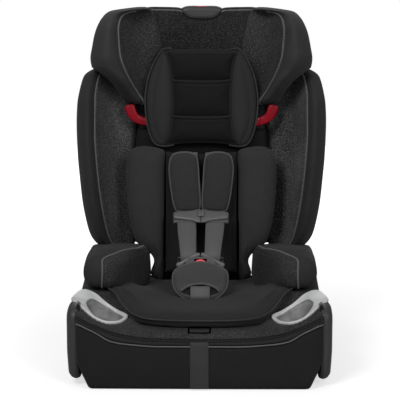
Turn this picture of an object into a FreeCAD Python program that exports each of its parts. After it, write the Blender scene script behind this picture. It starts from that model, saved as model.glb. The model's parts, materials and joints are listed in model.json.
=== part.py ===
import FreeCAD, Part
import math
import os
import Sketcher

# A forward-facing harness booster seat: a moulded base with armrests and cup trays, a
# backrest that leans on a steel recline axle, and a headrest that rides on two guide rods.
# Millimetres, +Z up, the child looks along -Y. Left is the -X side, as seen from the front.

doc = FreeCAD.newDocument("HarnessBooster")
sheet = doc.addObject("Spreadsheet::Sheet", "Dims")

DIMENSIONS = {
    # frames: the backrest leans back about the recline axle, the buckle about its slot
    "lean_angle": 9.0,
    "axle_back": 130.0,
    "axle_height": 60.0,
    "crotch_lean": 22.0,
    "crotch_slot_back": -80.0,
    "crotch_slot_height": 103.0,
    "strap_bend_front": -97.0,
    "strap_bend_height": 183.0,
    "strap_drop_angle": 51.0,
    # base shell
    "base_half": 198.0,
    "base_foot_half": 176.0,
    "base_front": -213.0,
    "base_rear": 150.0,
    "base_floor": 3.0,
    "base_shoulder": 137.0,
    "pan_top": 96.0,
    "pan_half": 118.0,
    "base_wall": 5.0,
    "cover_thick": 6.5,
    "cover_hem": 84.0,
    "gap": 0.4,
    "notch_half": 98.0,
    "notch_front": 104.0,
    "rib_side": 60.0,
    "rib_thick": 3.0,
    "foot_radius": 12.0,
    "foot_side": 140.0,
    "foot_front": -165.0,
    "foot_rear": 120.0,
    # recline axle
    "axle_radius": 5.0,
    "axle_half": 112.0,
    "axle_clearance": 0.06,
    "lug_radius": 15.0,
    "lug_inner": 58.0,
    "lug_outer": 74.0,
    # side panels
    "panel_inner": 205.2,
    "panel_outer": 230.0,
    "panel_floor": 12.0,
    "panel_top": 141.0,
    "panel_front": -204.0,
    "panel_rear": 126.0,
    "screw_radius": 4.0,
    # cup trays
    "tray_side": 164.0,
    "tray_back": -158.0,
    "tray_height": 133.0,
    "tray_tilt": 34.0,
    "tray_rim": 43.0,
    "tray_wall": 3.0,
    "tray_deep": 24.0,
    "tray_floor_radius": 24.0,
    # seat insert and armrests
    "insert_half": 161.0,
    "insert_front": -207.0,
    "insert_rear": 94.0,
    "insert_floor": 104.0,
    "insert_top": 128.0,
    "insert_side_top": 158.0,
    "arm_inner": 104.0,
    "arm_outer": 207.0,
    "arm_front": -112.0,
    "arm_rear": 92.0,
    "arm_floor": 148.0,
    "arm_top": 214.0,
    "arm_blade_inner": 183.0,
    "arm_blade_outer": 191.0,
    # backrest, in the leaning frame
    "shell_thick": 6.0,
    "shell_low": -45.0,
    "shell_top": 478.0,
    "shell_half": 208.0,
    "waist_half": 76.0,
    "shell_rib_deep": 20.0,
    "wing_inner": 127.0,
    "wing_outer": 225.0,
    "wing_low": 112.0,
    "wing_top": 436.0,
    "wing_front": -150.0,
    "wing_back": -0.5,
    "back_pad_half": 121.0,
    "back_pad_low": 72.0,
    "back_pad_top": 330.0,
    "back_pad_front": -52.0,
    "back_pad_back": -22.5,
    "body_insert_half": 138.0,
    "body_insert_low": 64.0,
    "body_insert_top": 297.0,
    "body_insert_front": -84.0,
    "body_insert_back": -54.0,
    # shoulder straps and pads
    "strap_wide": 34.0,
    "strap_thick": 2.0,
    "strap_side": 24.0,
    "strap_slot_height": 288.0,
    "strap_slot_tall": 10.0,
    "strap_slot_half": 20.0,
    "strap_joint": 75.0,
    "shoulder_pad_thick": 16.0,
    "shoulder_pad_low": 184.0,
    "shoulder_pad_top": 276.0,
    # guide rods and headrest rack
    "rod_side": 75.0,
    "rod_depth": -7.0,
    "rod_radius": 4.0,
    "rod_low": 178.0,
    "rod_top": 467.0,
    "slider_clearance": 0.05,
    "clamp_tall": 11.0,
    "slider_tall": 20.0,
    "slider_low": 200.0,
    "slider_high": 290.0,
    "rack_half": 14.0,
    "rack_low": 300.0,
    "rack_top": 470.0,
    "rack_step": 20.0,
    "rack_notches": 7.0,
    # headrest
    "head_half": 197.0,
    "head_low": 374.0,
    "head_top": 553.0,
    "head_inner": 104.0,
    "head_front": -158.0,
    "head_plate_front": -20.0,
    "head_plate_back": -14.0,
    "head_pad_front": -48.0,
    "leg_low": 194.0,
    "leg_half": 13.0,
    "pillow_half": 98.0,
    "pillow_low": 300.0,
    "pillow_top": 477.0,
    "pillow_front": -84.0,
    "pillow_back": -53.0,
    "handle_half": 33.0,
    "handle_low": 534.0,
    "handle_top": 557.0,
    "handle_front": -46.0,
    "handle_back": -24.0,
    "handle_room": 5.0,
    "lock_bar_low": 425.0,
    # harness buckle, in the crotch frame
    "buckle_half": 27.0,
    "buckle_low": 38.0,
    "buckle_top": 96.0,
    "buckle_front": -3.0,
    "buckle_split": 8.0,
    "buckle_back": 18.0,
    "buckle_wall": 2.5,
    "button_half": 11.0,
    "button_low": 78.0,
    "button_high": 92.0,
    "crotch_strap_half": 19.0,
    "crotch_pad_half": 45.0,
    "crotch_pad_low": 28.0,
    "crotch_pad_top": 90.0,
    "crotch_pad_front": -15.0,
    "crotch_pad_back": -4.0,
    # chest clip, in the strap frame
    "clip_half": 51.0,
    "clip_low": -36.0,
    "clip_top": -8.0,
    "clip_front": -9.0,
    "clip_back": 7.0,
    # harness adjuster in the front of the base
    "adjuster_half": 21.0,
    "adjuster_pivot_back": -186.0,
    "adjuster_pivot_height": 88.0,
    "adjuster_pin_radius": 2.5,
    "lever_front": -208.0,
    "lever_top": 103.5,
}


def fill_sheet():
    """One row per driving dimension: its name, its value, and the name again as the alias."""
    for row, (name, value) in enumerate(DIMENSIONS.items(), start=1):
        sheet.set(f"A{row}", name)
        sheet.set(f"B{row}", str(value))
        sheet.setAlias(f"B{row}", name)
    doc.recompute()


class Size:
    """A length together with the sheet expression that drives it."""

    def __init__(self, value, text):
        self.value = value
        self.text = text

    def __add__(self, other):
        other = sized(other)
        return Size(self.value + other.value, f"({self.text} + {other.text})")

    def __sub__(self, other):
        other = sized(other)
        return Size(self.value - other.value, f"({self.text} - {other.text})")

    def __mul__(self, other):
        other = sized(other)
        return Size(self.value * other.value, f"({self.text} * {other.text})")

    def __rsub__(self, other):
        return sized(other) - self

    def __neg__(self):
        return Size(-self.value, f"(0 - {self.text})")

    __radd__ = __add__
    __rmul__ = __mul__


def sized(number):
    return number if isinstance(number, Size) else Size(float(number), f"({float(number)})")


def dim(name):
    """A driving dimension, by the name of its cell."""
    return Size(DIMENSIONS[name], f"Dims.{name}")


def between(low, high, share):
    """The place a given share of the way from one length to another."""
    return low + share * (high - low)


# ---------------------------------------------------------------- frames

def leaning_frame(back, up, angle):
    """A frame at (0, back, up) whose +Z leans back by the angle."""
    return FreeCAD.Placement(
        FreeCAD.Vector(0, back, up),
        FreeCAD.Rotation(FreeCAD.Vector(1, 0, 0), -angle),
    )


BASE_FRAME = FreeCAD.Placement()
BACK_FRAME = leaning_frame(
    DIMENSIONS["axle_back"], DIMENSIONS["axle_height"], DIMENSIONS["lean_angle"])
CROTCH_FRAME = leaning_frame(
    DIMENSIONS["crotch_slot_back"], DIMENSIONS["crotch_slot_height"], DIMENSIONS["crotch_lean"])
STRAP_FRAME = BACK_FRAME.multiply(leaning_frame(
    DIMENSIONS["strap_bend_front"], DIMENSIONS["strap_bend_height"], DIMENSIONS["strap_drop_angle"]))
SIDES = ((-1, "left"), (1, "right"))


# ---------------------------------------------------------------- building blocks

def profile(body, plane, corners, offset):
    """A closed sketch whose corners are each held by two driven distances from the origin."""
    origin_plane = [item for item in body.Origin.OriginFeatures if item.Role == plane + "_Plane"][0]
    sketch = body.newObject("Sketcher::SketchObject", body.Name + "_profile")
    sketch.AttachmentSupport = [(origin_plane, "")]
    sketch.MapMode = "FlatFace"
    sketch.setExpression("AttachmentOffset.Base.z", offset.text)
    points = [(sized(across), sized(along)) for across, along in corners]
    vectors = [FreeCAD.Vector(across.value, along.value, 0) for across, along in points]
    count = len(points)
    for index in range(count):
        sketch.addGeometry(Part.LineSegment(vectors[index], vectors[(index + 1) % count]), False)
    for index, (across, along) in enumerate(points):
        sketch.addConstraint(
            Sketcher.Constraint("Coincident", index, 2, (index + 1) % count, 1))
        for kind, length in (("DistanceX", across), ("DistanceY", along)):
            number = sketch.addConstraint(
                Sketcher.Constraint(kind, -1, 1, index, 1, length.value))
            sketch.setExpression(f"Constraints[{number}]", length.text)
    return sketch


def prism(label, plane, corners, start, end):
    """A body padded from an outline: across XZ it runs along Y, across YZ along X, XY along Z."""
    start, end = sized(start), sized(end)
    body = doc.addObject("PartDesign::Body", label)
    away = plane == "XZ"
    sketch = profile(body, plane, corners, -start if away else start)
    pad = body.newObject("PartDesign::Pad", body.Name + "_pad")
    pad.Profile = sketch
    pad.Reversed = away
    pad.setExpression("Length", (end - start).text)
    sketch.Visibility = False
    return body


def revolved(label, corners):
    """A body turned about its own Z axis from an outline of radius and height."""
    body = doc.addObject("PartDesign::Body", label)
    sketch = profile(body, "XZ", corners, sized(0))
    turn = body.newObject("PartDesign::Revolution", body.Name + "_turn")
    turn.Profile = sketch
    turn.ReferenceAxis = (sketch, ["V_Axis"])
    turn.Angle = 360
    return body


def block(label, x_range, y_range, z_range):
    """A box between two places on each axis."""
    box = doc.addObject("Part::Box", label)
    for side, axis, (low, high) in zip(
            ("Length", "Width", "Height"), "xyz", (x_range, y_range, z_range)):
        low, high = sized(low), sized(high)
        box.setExpression(side, (high - low).text)
        box.setExpression(f"Placement.Base.{axis}", low.text)
    return box


def sided(side, inner, outer):
    """The x range between two distances from the middle, on the given side."""
    return (inner, outer) if side > 0 else (-sized(outer), -sized(inner))


def rod(label, axis, radius, start, end, across):
    """A cylinder along X, Y or Z; across gives its place on the other two axes in order."""
    cylinder = doc.addObject("Part::Cylinder", label)
    start, end = sized(start), sized(end)
    cylinder.setExpression("Radius", sized(radius).text)
    cylinder.setExpression("Height", (end - start).text)
    turns = {
        "x": FreeCAD.Rotation(FreeCAD.Vector(0, 1, 0), 90),
        "y": FreeCAD.Rotation(FreeCAD.Vector(1, 0, 0), -90),
        "z": FreeCAD.Rotation(),
    }
    cylinder.Placement = FreeCAD.Placement(FreeCAD.Vector(), turns[axis])
    places = list(across)
    places.insert("xyz".index(axis), start)
    for letter, place in zip("xyz", places):
        cylinder.setExpression(f"Placement.Base.{letter}", sized(place).text)
    return cylinder


def cut(label, base, *tools):
    """The base without the tools."""
    result = doc.addObject("Part::Cut", label)
    result.Base = base
    result.Tool = tools[0] if len(tools) == 1 else fuse(label + "_tools", *tools)
    return result


def fuse(label, *pieces):
    result = doc.addObject("Part::MultiFuse", label)
    result.Shapes = list(pieces)
    return result


def common(label, *pieces):
    """What the pieces share."""
    result = doc.addObject("Part::MultiCommon", label)
    result.Shapes = list(pieces)
    return result


nodes = []


def node(item, name, frame=BASE_FRAME):
    """Names a finished sub-part and puts it in its frame."""
    if frame is not BASE_FRAME and item.TypeId in ("Part::Box", "Part::Cylinder"):
        item.Label = name + "_solid"
        item = group(name, [item])
    item.Label = name
    if frame is not BASE_FRAME:
        item.Placement = frame
    nodes.append(item)
    return item


def group(label, pieces):
    """Separate solids that share one node, or one primitive that a frame carries."""
    compound = doc.addObject("Part::Compound", label)
    compound.Links = pieces
    return compound


def mirrored_outline(half):
    """A whole outline from its right half, which is listed from the bottom to the top."""
    left = [(-sized(across), along) for across, along in reversed(half)]
    return list(half) + [point for point, twin in zip(left, reversed(half))
                         if sized(twin[0]).value > 0]


def shares_to_points(shares, wide, low, high, side=1):
    """Outline points from shares of a half width and of a height range."""
    return [(side * share_x * wide, between(low, high, share_z)) for share_x, share_z in shares]


def strip(points, thick):
    """The outline of webbing seen edge-on: a path of (y, z) points with a thickness."""
    half = sized(thick) * 0.5
    values = [(sized(y).value, sized(z).value) for y, z in points]
    near, far = [], []
    for index, (y, z) in enumerate(points):
        before = values[max(index - 1, 0)]
        here = values[index]
        after = values[min(index + 1, len(values) - 1)]
        angle_in = math.atan2(here[1] - before[1], here[0] - before[0])
        angle_out = math.atan2(after[1] - here[1], after[0] - here[0])
        if index == 0:
            angle_in = angle_out
        if index == len(values) - 1:
            angle_out = angle_in
        turn = (angle_out - angle_in + math.pi) % (2 * math.pi) - math.pi
        middle = angle_in + turn / 2
        reach = 1 / math.cos(turn / 2)
        step_y, step_z = -math.sin(middle) * reach, math.cos(middle) * reach
        near.append((sized(y) + half * step_y, sized(z) + half * step_z))
        far.append((sized(y) - half * step_y, sized(z) - half * step_z))
    return near + far[::-1]


# ---------------------------------------------------------------- base

def base_envelope(label, grow, floor):
    """The outer form of the base, grown outwards by a distance, down to the given floor."""
    half = dim("base_half") + grow
    front = dim("base_front") - grow
    rear = dim("base_rear") + grow
    shoulder = dim("base_shoulder") + grow
    pan = dim("pan_top") + grow
    plan = mirrored_outline([
        (0.36 * half, front + 1), (0.68 * half, front + 9), (0.9 * half, front + 24),
        (half, front + 50), (half, rear)])
    seen_from_front = mirrored_outline([
        (dim("base_foot_half") + grow, floor), (half - 5, dim("base_floor") + 28),
        (half, 62), (half, shoulder - 6), (half - 14, shoulder), (dim("pan_half"), pan)])
    seen_from_side = [
        (front, floor), (front, pan - 14), (front + 7, pan), (front + 24, pan + 12),
        (front + 62, shoulder - 3), (front + 112, shoulder + 1), (0, shoulder - 3),
        (rear, shoulder - 25), (rear, floor)]
    return common(
        label,
        prism(label + "_plan", "XY", plan, floor, shoulder + 20),
        prism(label + "_front", "XZ", seen_from_front, front - 5, rear + 5),
        prism(label + "_side", "YZ", seen_from_side, -half - 5, half + 5))


def foot_places():
    return [(side * dim("foot_side"), dim(back)) for side in (-1, 1)
            for back in ("foot_front", "foot_rear")]


def tray_frame(side):
    """The cup tray's frame: its rim leans down towards the middle of the seat."""
    return FreeCAD.Placement(
        FreeCAD.Vector(side * DIMENSIONS["tray_side"], DIMENSIONS["tray_back"],
                       DIMENSIONS["tray_height"]),
        FreeCAD.Rotation(FreeCAD.Vector(0, 1, 0), -side * DIMENSIONS["tray_tilt"]))


def tray_hole(label, side):
    """The round hole in the base that takes a cup tray, with a little room round it."""
    hole = doc.addObject("Part::Cylinder", label)
    hole.setExpression("Radius", (dim("tray_rim") + 0.5).text)
    hole.setExpression("Height", (dim("tray_deep") * 2 + 30).text)
    down = FreeCAD.Placement(FreeCAD.Vector(0, 0, -DIMENSIONS["tray_deep"] - 3), FreeCAD.Rotation())
    hole.Placement = tray_frame(side).multiply(down)
    return hole


def strap_openings(label):
    """Slots in the base for the crotch strap, the lap straps, the adjuster and its strap."""
    slot_back = dim("crotch_slot_back")
    pieces = [
        block(label + "_crotch", (-22, 22), (slot_back - 14, slot_back + 8), (60, 150)),
        block(label + "_adjuster", (-dim("adjuster_half") - 1, dim("adjuster_half") + 1),
              (dim("lever_front") - 5, dim("adjuster_pivot_back") + 14), (66, 125)),
        block(label + "_tail", (-17.5, 17.5), (-230, -200), (81, 93)),
    ]
    for side, name in SIDES:
        pieces.append(block(f"{label}_lap_{name}", sided(side, 21, 42), (-34, -24), (60, 150)))
    return pieces


def make_base_shell():
    """A tub open underneath, with ribs, foot posts and the cheeks that hold the axle."""
    grow_in = -dim("base_wall")
    walls = cut("base_walls", base_envelope("base_outer", sized(0), dim("base_floor")),
                base_envelope("base_cavity", grow_in, dim("base_floor") - 1))
    wall = dim("base_wall")
    notch_half, notch_front = dim("notch_half"), dim("notch_front")
    pan_low = dim("pan_top") - 2
    pieces = [walls]
    cheeks = block("axle_cheeks", (-notch_half - wall, notch_half + wall),
                   (notch_front - wall, dim("base_rear") - 1), (dim("base_floor"), pan_low))
    pieces.append(cheeks)
    for side, name in SIDES:
        pieces.append(block(
            f"rib_{name}", sided(side, dim("rib_side"), dim("rib_side") + dim("rib_thick")),
            (dim("base_front") + 8, notch_front - 2), (dim("base_floor"), pan_low)))
        pieces.append(rod(
            f"axle_boss_{name}", "x", dim("lug_radius"),
            *sided(side, notch_half + 1, dim("axle_half") - 1),
            (dim("axle_back"), dim("axle_height"))))
    for number, place in enumerate(foot_places()):
        pieces.append(rod(f"foot_post_{number}", "z", dim("foot_radius") + 3,
                          dim("base_floor"), dim("pan_top") + 4, place))
    solid = fuse("base_solid", *pieces)
    notch = block("back_notch", (-notch_half, notch_half), (notch_front, 170), (-10, 200))
    bore = rod("axle_bore", "x", dim("axle_radius"), -dim("axle_half"), dim("axle_half"),
               (dim("axle_back"), dim("axle_height")))
    strap_way = block("rear_strap_way", (-20, 20), (90, 110), (60, 84))
    shell = cut("base_shell", solid, notch, bore, strap_way, *strap_openings("shell_slot"),
                tray_hole("shell_hole_left", -1), tray_hole("shell_hole_right", 1))
    node(shell, "base_shell")


def make_rubber_feet():
    feet = [rod(f"foot_{number}", "z", dim("foot_radius"), 0, dim("base_floor"), place)
            for number, place in enumerate(foot_places())]
    node(group("rubber_feet", feet), "rubber_feet")


def make_recline_axle():
    half = dim("axle_half")
    node(rod("recline_axle", "x", dim("axle_radius"), -half, half,
             (dim("axle_back"), dim("axle_height"))), "recline_axle")


def panel_outline(side):
    """The side rim panel seen from the front."""
    inner, outer = dim("panel_inner"), dim("panel_outer")
    low, high = dim("panel_floor"), dim("panel_top")
    shares = [(0, 0), (0.44, 0), (0.72, 0.07), (0.84, 0.23), (0.96, 0.59), (1, 0.81),
              (0.8, 0.93), (0.44, 1), (0, 1)]
    return [(side * between(inner, outer, x), between(low, high, z)) for x, z in shares]


def screw_places():
    return [(dim("panel_front") + 20, dim("panel_floor") + 16),
            (dim("panel_rear") - 20, dim("panel_floor") + 16)]


def make_side_panels():
    """Glossy rims that close the sides of the base, each held by two screws."""
    front, rear = dim("panel_front"), dim("panel_rear")
    low, high = dim("panel_floor"), dim("panel_top")
    shares = [(0.02, 0.05), (0.06, 0), (0.95, 0), (1, 0.08), (0.99, 0.75), (0.93, 0.84),
              (0.5, 0.93), (0.2, 1), (0.08, 0.97), (0.02, 0.8), (0, 0.4)]
    seen_from_side = [(between(front, rear, y), between(low, high, z)) for y, z in shares]
    screws = []
    for side, name in SIDES:
        span = sided(side, dim("panel_inner") - 5, dim("panel_outer") + 5)
        blank = common(
            f"panel_blank_{name}",
            prism(f"panel_front_{name}", "XZ", panel_outline(side), front, rear),
            prism(f"panel_side_{name}", "YZ", seen_from_side, *span))
        holes = [rod(f"panel_hole_{name}_{number}", "x", dim("screw_radius") + 0.1, *span, place)
                 for number, place in enumerate(screw_places())]
        screws += [rod(f"screw_{name}_{number}", "x", dim("screw_radius"),
                       *sided(side, dim("panel_inner"), dim("panel_inner") + 15), place)
                   for number, place in enumerate(screw_places())]
        pockets = [
            block(f"panel_pocket_{name}", sided(side, dim("panel_inner") - 2, dim("panel_inner") + 7),
                  (front + 12, rear - 12), (low + 8, high - 18)),
            block(f"panel_deep_{name}", sided(side, dim("panel_inner") + 5, dim("panel_outer") - 8),
                  (front + 14, rear - 14), (low + 50, high - 24)),
        ]
        node(cut(f"side_panel_{name}", blank, *holes, *pockets), f"side_panel_{name}")
    node(group("panel_screws", screws), "panel_screws")


def make_cup_trays():
    """A shallow dish with a turned rim in each front corner, and a dark liner in its floor."""
    rim, wall, deep = dim("tray_rim"), dim("tray_wall"), dim("tray_deep")
    floor_radius = dim("tray_floor_radius")
    for side, name in SIDES:
        dish = revolved(f"cup_tray_{name}", [
            (0, -deep), (floor_radius, -deep), (rim - wall, -wall), (rim, -wall), (rim, 0),
            (rim - 2 * wall, 0), (floor_radius - wall, wall - deep), (0, wall - deep)])
        node(dish, f"cup_tray_{name}", tray_frame(side))
        liner = rod(f"tray_liner_{name}", "z", floor_radius - wall - 1, wall - deep,
                    wall - deep + 2, (0, 0))
        node(liner, f"tray_liner_{name}", tray_frame(side))


def make_seat_cover():
    """The padded fabric over the pan and shoulders of the base."""
    cover = cut(
        "seat_cover", base_envelope("cover_outer", dim("cover_thick"), dim("cover_hem")),
        base_envelope("cover_inner", dim("gap"), dim("cover_hem") - 20),
        block("cover_notch", (-dim("notch_half") - 2, dim("notch_half") + 2), (96, 170), (0, 200)),
        block("cover_armrest_left", (-192, -182), (-82, 64), (100, 200)),
        block("cover_armrest_right", (182, 192), (-82, 64), (100, 200)),
        tray_hole("cover_hole_left", -1), tray_hole("cover_hole_right", 1),
        *strap_openings("cover_slot"))
    node(cover, "seat_cover")


def make_front_skirt():
    """The smooth band of fabric round the front of the base, below the seat cover's seam."""
    outer = base_envelope("skirt_outer", dim("cover_thick"), dim("base_floor"))
    inner = base_envelope("skirt_inner", dim("gap"), dim("base_floor") - 5)
    reach = dim("base_half") + 10
    keep = block("skirt_band", (-reach, reach), (-240, dim("base_front") + 62),
                 (dim("base_floor"), dim("cover_hem") - 0.5))
    tail = block("skirt_slot", (-17.5, 17.5), (-230, -200), (81, 93))
    node(cut("front_skirt", common("skirt_front_part", outer, keep), inner, tail), "front_skirt")


def make_seat_insert_pad():
    """The removable infant pad on the pan: a rounded plan whose sides climb the shoulders."""
    half, front, rear = dim("insert_half"), dim("insert_front"), dim("insert_rear")
    shares = [(0.37, 0.01), (0.65, 0.06), (0.84, 0.14), (0.95, 0.25), (1, 0.36), (0.97, 0.46),
              (0.78, 0.65), (0.61, 0.85), (0.57, 1)]
    plan = mirrored_outline(shares_to_points(shares, half, front, rear))
    low, top, side_top = dim("insert_floor"), dim("insert_top"), dim("insert_side_top")
    seen_from_front = mirrored_outline([
        (dim("pan_half"), low), (half + 4, low + 32), (half + 4, side_top), (half - 12, side_top),
        (0.65 * half, top + 5), (0.3 * half, top)])
    blank = common("insert_blank",
                   prism("insert_plan", "XY", plan, low - 5, side_top + 5),
                   prism("insert_front_view", "XZ", seen_from_front, front - 5, rear + 5))
    slot_back = dim("crotch_slot_back")
    slots = [block("insert_slot", (-22, 22), (slot_back - 10, slot_back + 22), (60, 190))]
    for side, name in SIDES:
        slots.append(block(f"insert_lap_slot_{name}", sided(side, 21, 42), (-36, -22), (60, 190)))
    node(cut("seat_insert_pad", blank, *slots), "seat_insert_pad")


def make_armrests():
    """A plastic blade on each shoulder of the base, inside a deep padded armrest."""
    front, rear, low, top = dim("arm_front"), dim("arm_rear"), dim("arm_floor"), dim("arm_top")
    inner, outer = dim("arm_inner"), dim("arm_outer")
    side_shares = [(0.03, 0.06), (0.07, 0), (0.98, 0), (1, 0.12), (0.98, 0.2), (0.62, 0.36),
                   (0.52, 0.72), (0.44, 0.95), (0.25, 1), (0.1, 0.92), (0.01, 0.6), (0, 0.25)]
    seen_from_side = [(between(front, rear, y), between(low, top, z)) for y, z in side_shares]
    plan_shares = [(0.72, 0), (0.92, 0.02), (1, 0.12), (1, 1), (0.12, 1), (0, 0.9), (0.02, 0.76),
                   (0.25, 0.6), (0.42, 0.42), (0.56, 0.2), (0.62, 0.06)]
    blade_top = top - 12
    for side, name in SIDES:
        plan = [(side * between(inner, outer, x), between(front, rear, y)) for x, y in plan_shares]
        pad_blank = common(
            f"arm_blank_{name}",
            prism(f"arm_plan_{name}", "XY", plan, low - 5, top + 5),
            prism(f"arm_side_{name}", "YZ", seen_from_side, *sided(side, inner - 5, outer + 5)))
        blade_x = (dim("arm_blade_inner"), dim("arm_blade_outer"))
        pocket = block(f"arm_pocket_{name}",
                       sided(side, blade_x[0] - 0.5, blade_x[1] + 0.5),
                       (front + 39.5, -19.5), (low - 10, blade_top + 0.5))
        node(cut(f"armrest_pad_{name}", pad_blank, pocket), f"armrest_pad_{name}")
        blade = block(f"armrest_frame_{name}", sided(side, *blade_x), (front + 40, -20),
                      (dim("base_shoulder") + 1.2, blade_top))
        node(blade, f"armrest_frame_{name}")


# ---------------------------------------------------------------- harness, base end

def make_crotch_strap():
    """The webbing that comes up through the pan to the buckle, and its steel anchor plate."""
    half = dim("crotch_strap_half")
    low = dim("buckle_low")
    webbing = prism("crotch_strap", "YZ", strip([(0, low - 58), (6, low - 34), (9, low - 1)], 2),
                    -half, half)
    node(webbing, "crotch_strap", CROTCH_FRAME)
    under_pan = dim("pan_top") - dim("base_wall")
    slot_back = dim("crotch_slot_back")
    plate = block("crotch_anchor_plate", (-26, 26), (slot_back - 30, slot_back - 14.5),
                  (under_pan - 4, under_pan - 1))
    node(plate, "crotch_anchor_plate")


def make_buckle():
    """Two covers, a steel latch plate and the push button."""
    half, low, top = dim("buckle_half"), dim("buckle_low"), dim("buckle_top")
    front, split, back = dim("buckle_front"), dim("buckle_split"), dim("buckle_back")
    wall, gap = dim("buckle_wall"), dim("gap")
    button_half, button_low, button_high = dim("button_half"), dim("button_low"), dim("button_high")
    outline = mirrored_outline([(0.7 * half, low), (0.92 * half, low + 5), (half, low + 14),
                                (half, top - 12), (0.86 * half, top - 3), (0.6 * half, top)])
    inside = ((-half + wall, half - wall), (low + wall, top - wall))
    window = block("button_window", (-button_half - gap, button_half + gap), (front - 5, split),
                   (button_low - gap, button_high + gap))
    front_cavity = block("front_cavity", inside[0], (front + wall, split), inside[1])
    cover = cut("buckle_front_cover", prism("buckle_front_blank", "XZ", outline, front, split),
                front_cavity, window)
    node(cover, "buckle_front_cover", CROTCH_FRAME)
    rear_cavity = block("rear_cavity", inside[0], (split, back - wall), inside[1])
    strap_way = block("buckle_strap_way", (-20, 20), (split, split + 3.5), (low - 5, low + wall))
    tongue_way = block("buckle_tongue_way", (-20, 20), (split + 3.5, split + 7.5),
                       (top - wall, top + 5))
    rear = cut("buckle_rear_cover", prism("buckle_rear_blank", "XZ", outline, split, back),
               rear_cavity, strap_way, tongue_way)
    node(rear, "buckle_rear_cover", CROTCH_FRAME)
    latch = block("buckle_latch_plate", (-20, 20), (split + 0.2, split + 2.7),
                  (low + 6, button_low + 6))
    node(latch, "buckle_latch_plate", CROTCH_FRAME)
    button = block("buckle_button", (-button_half, button_half), (front - 0.5, front + 5),
                   (button_low, button_high))
    node(button, "buckle_button", CROTCH_FRAME)


def make_tongues():
    """Steel tongues: a blade inside the buckle and a slotted loop that the straps go through."""
    split, top = dim("buckle_split"), dim("buckle_top")
    for side, name in SIDES:
        outline = [(3, top - 26), (15, top - 26), (15, top + 1.5), (40, top - 9), (45, top - 4),
                   (45, top + 3), (16, top + 15), (8, top + 13), (3, top + 5)]
        plate = prism(f"tongue_blank_{name}", "XZ", [(side * x, z) for x, z in outline],
                      split + 4, split + 7)
        slot = prism(f"tongue_slot_{name}", "XZ",
                     [(side * x, z) for x, z in ((14, top + 6), (40, top - 4.5), (41, top - 1),
                                                 (15, top + 10))],
                     split + 2, split + 9)
        node(cut(f"tongue_{name}", plate, slot), f"tongue_{name}", CROTCH_FRAME)


def make_crotch_pad():
    """The soft pad in front of the buckle, with the arched opening near its foot."""
    half, low, top = dim("crotch_pad_half"), dim("crotch_pad_low"), dim("crotch_pad_top")
    shares = [(0.6, 0), (0.84, 0.16), (0.98, 0.36), (1, 0.56), (0.93, 0.78), (0.74, 0.92),
              (0.4, 1)]
    outline = mirrored_outline(shares_to_points(shares, half, low, top))
    front, back = dim("crotch_pad_front"), dim("crotch_pad_back")
    arch = block("crotch_pad_arch", (-20, 20), (front - 5, back + 5), (low + 10, low + 22))
    node(cut("crotch_pad", prism("crotch_pad_blank", "XZ", outline, front, back), arch),
         "crotch_pad", CROTCH_FRAME)


def make_lap_straps():
    """The lap webbing runs from each tongue down behind the crotch pad to the pan."""
    bend = STRAP_FRAME.multVec(FreeCAD.Vector(0, 0, -DIMENSIONS["strap_joint"] - 2))
    loop = CROTCH_FRAME.multVec(FreeCAD.Vector(0, DIMENSIONS["buckle_back"] + 3,
                                               DIMENSIONS["buckle_top"] - 4))
    under_pan = dim("pan_top") - dim("base_wall")
    path = [(bend.y, bend.z), (loop.y, loop.z), (-29, 148), (-29, under_pan - 8)]
    for side, name in SIDES:
        webbing = prism(f"lap_strap_{name}", "YZ", strip(path, dim("strap_thick")),
                        *sided(side, 22, 41))
        node(webbing, f"lap_strap_{name}")
    bar = rod("hip_anchor_bar", "x", 4, -58, 58, (-23.5, under_pan - 6))
    node(bar, "hip_anchor_bar")


def make_adjuster():
    """The harness adjuster under the front lip of the pad: a cradle, a hinge pin and a lever."""
    half = dim("adjuster_half")
    back, height = dim("adjuster_pivot_back"), dim("adjuster_pivot_height")
    pin_radius = dim("adjuster_pin_radius")
    lever_front, lever_top = dim("lever_front"), dim("lever_top")
    blank = block("adjuster_blank", (-half, half), (back - 8, back + 12), (70, pin_room(height)))
    channel = block("adjuster_channel", (3 - half, half - 3), (back - 10, back + 14),
                    (73, pin_room(height) + 5))
    pin_bore = rod("adjuster_pin_bore", "x", pin_radius, -half, half, (back, height))
    node(cut("adjuster_housing", blank, channel, pin_bore), "adjuster_housing")
    node(rod("adjuster_pin", "x", pin_radius, -half, half, (back, height)), "adjuster_pin")
    outline = [(back - 4, height - 3.7), (back + 4, height - 3.7), (back + 4, lever_top - 5),
               (back + 1, lever_top - 2), (lever_front, lever_top), (lever_front, lever_top - 4),
               (back - 4, lever_top - 6)]
    lever_half = half - 4
    lever_blank = prism("adjuster_lever_blank", "YZ", outline, -lever_half, lever_half)
    lever_bore = rod("adjuster_lever_bore", "x", pin_radius + dim("axle_clearance"),
                     -half, half, (back, height))
    node(cut("adjuster_lever", lever_blank, lever_bore), "adjuster_lever")


def pin_room(height):
    """The top of the adjuster's cheeks, above the hinge pin."""
    return height + 6


def make_adjuster_strap():
    """One webbing tail: from under the pan, out through the front and down over the skirt."""
    front = dim("base_front") - dim("cover_thick") - 2
    path = [(97, 72), (-150, 72), (-176, 76.5), (-205, 87), (front, 87), (front, 6)]
    half = dim("strap_wide") * 0.5 - 1
    node(prism("adjuster_strap", "YZ", strip(path, dim("strap_thick")), -half, half),
         "adjuster_strap")


# ---------------------------------------------------------------- backrest

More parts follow.
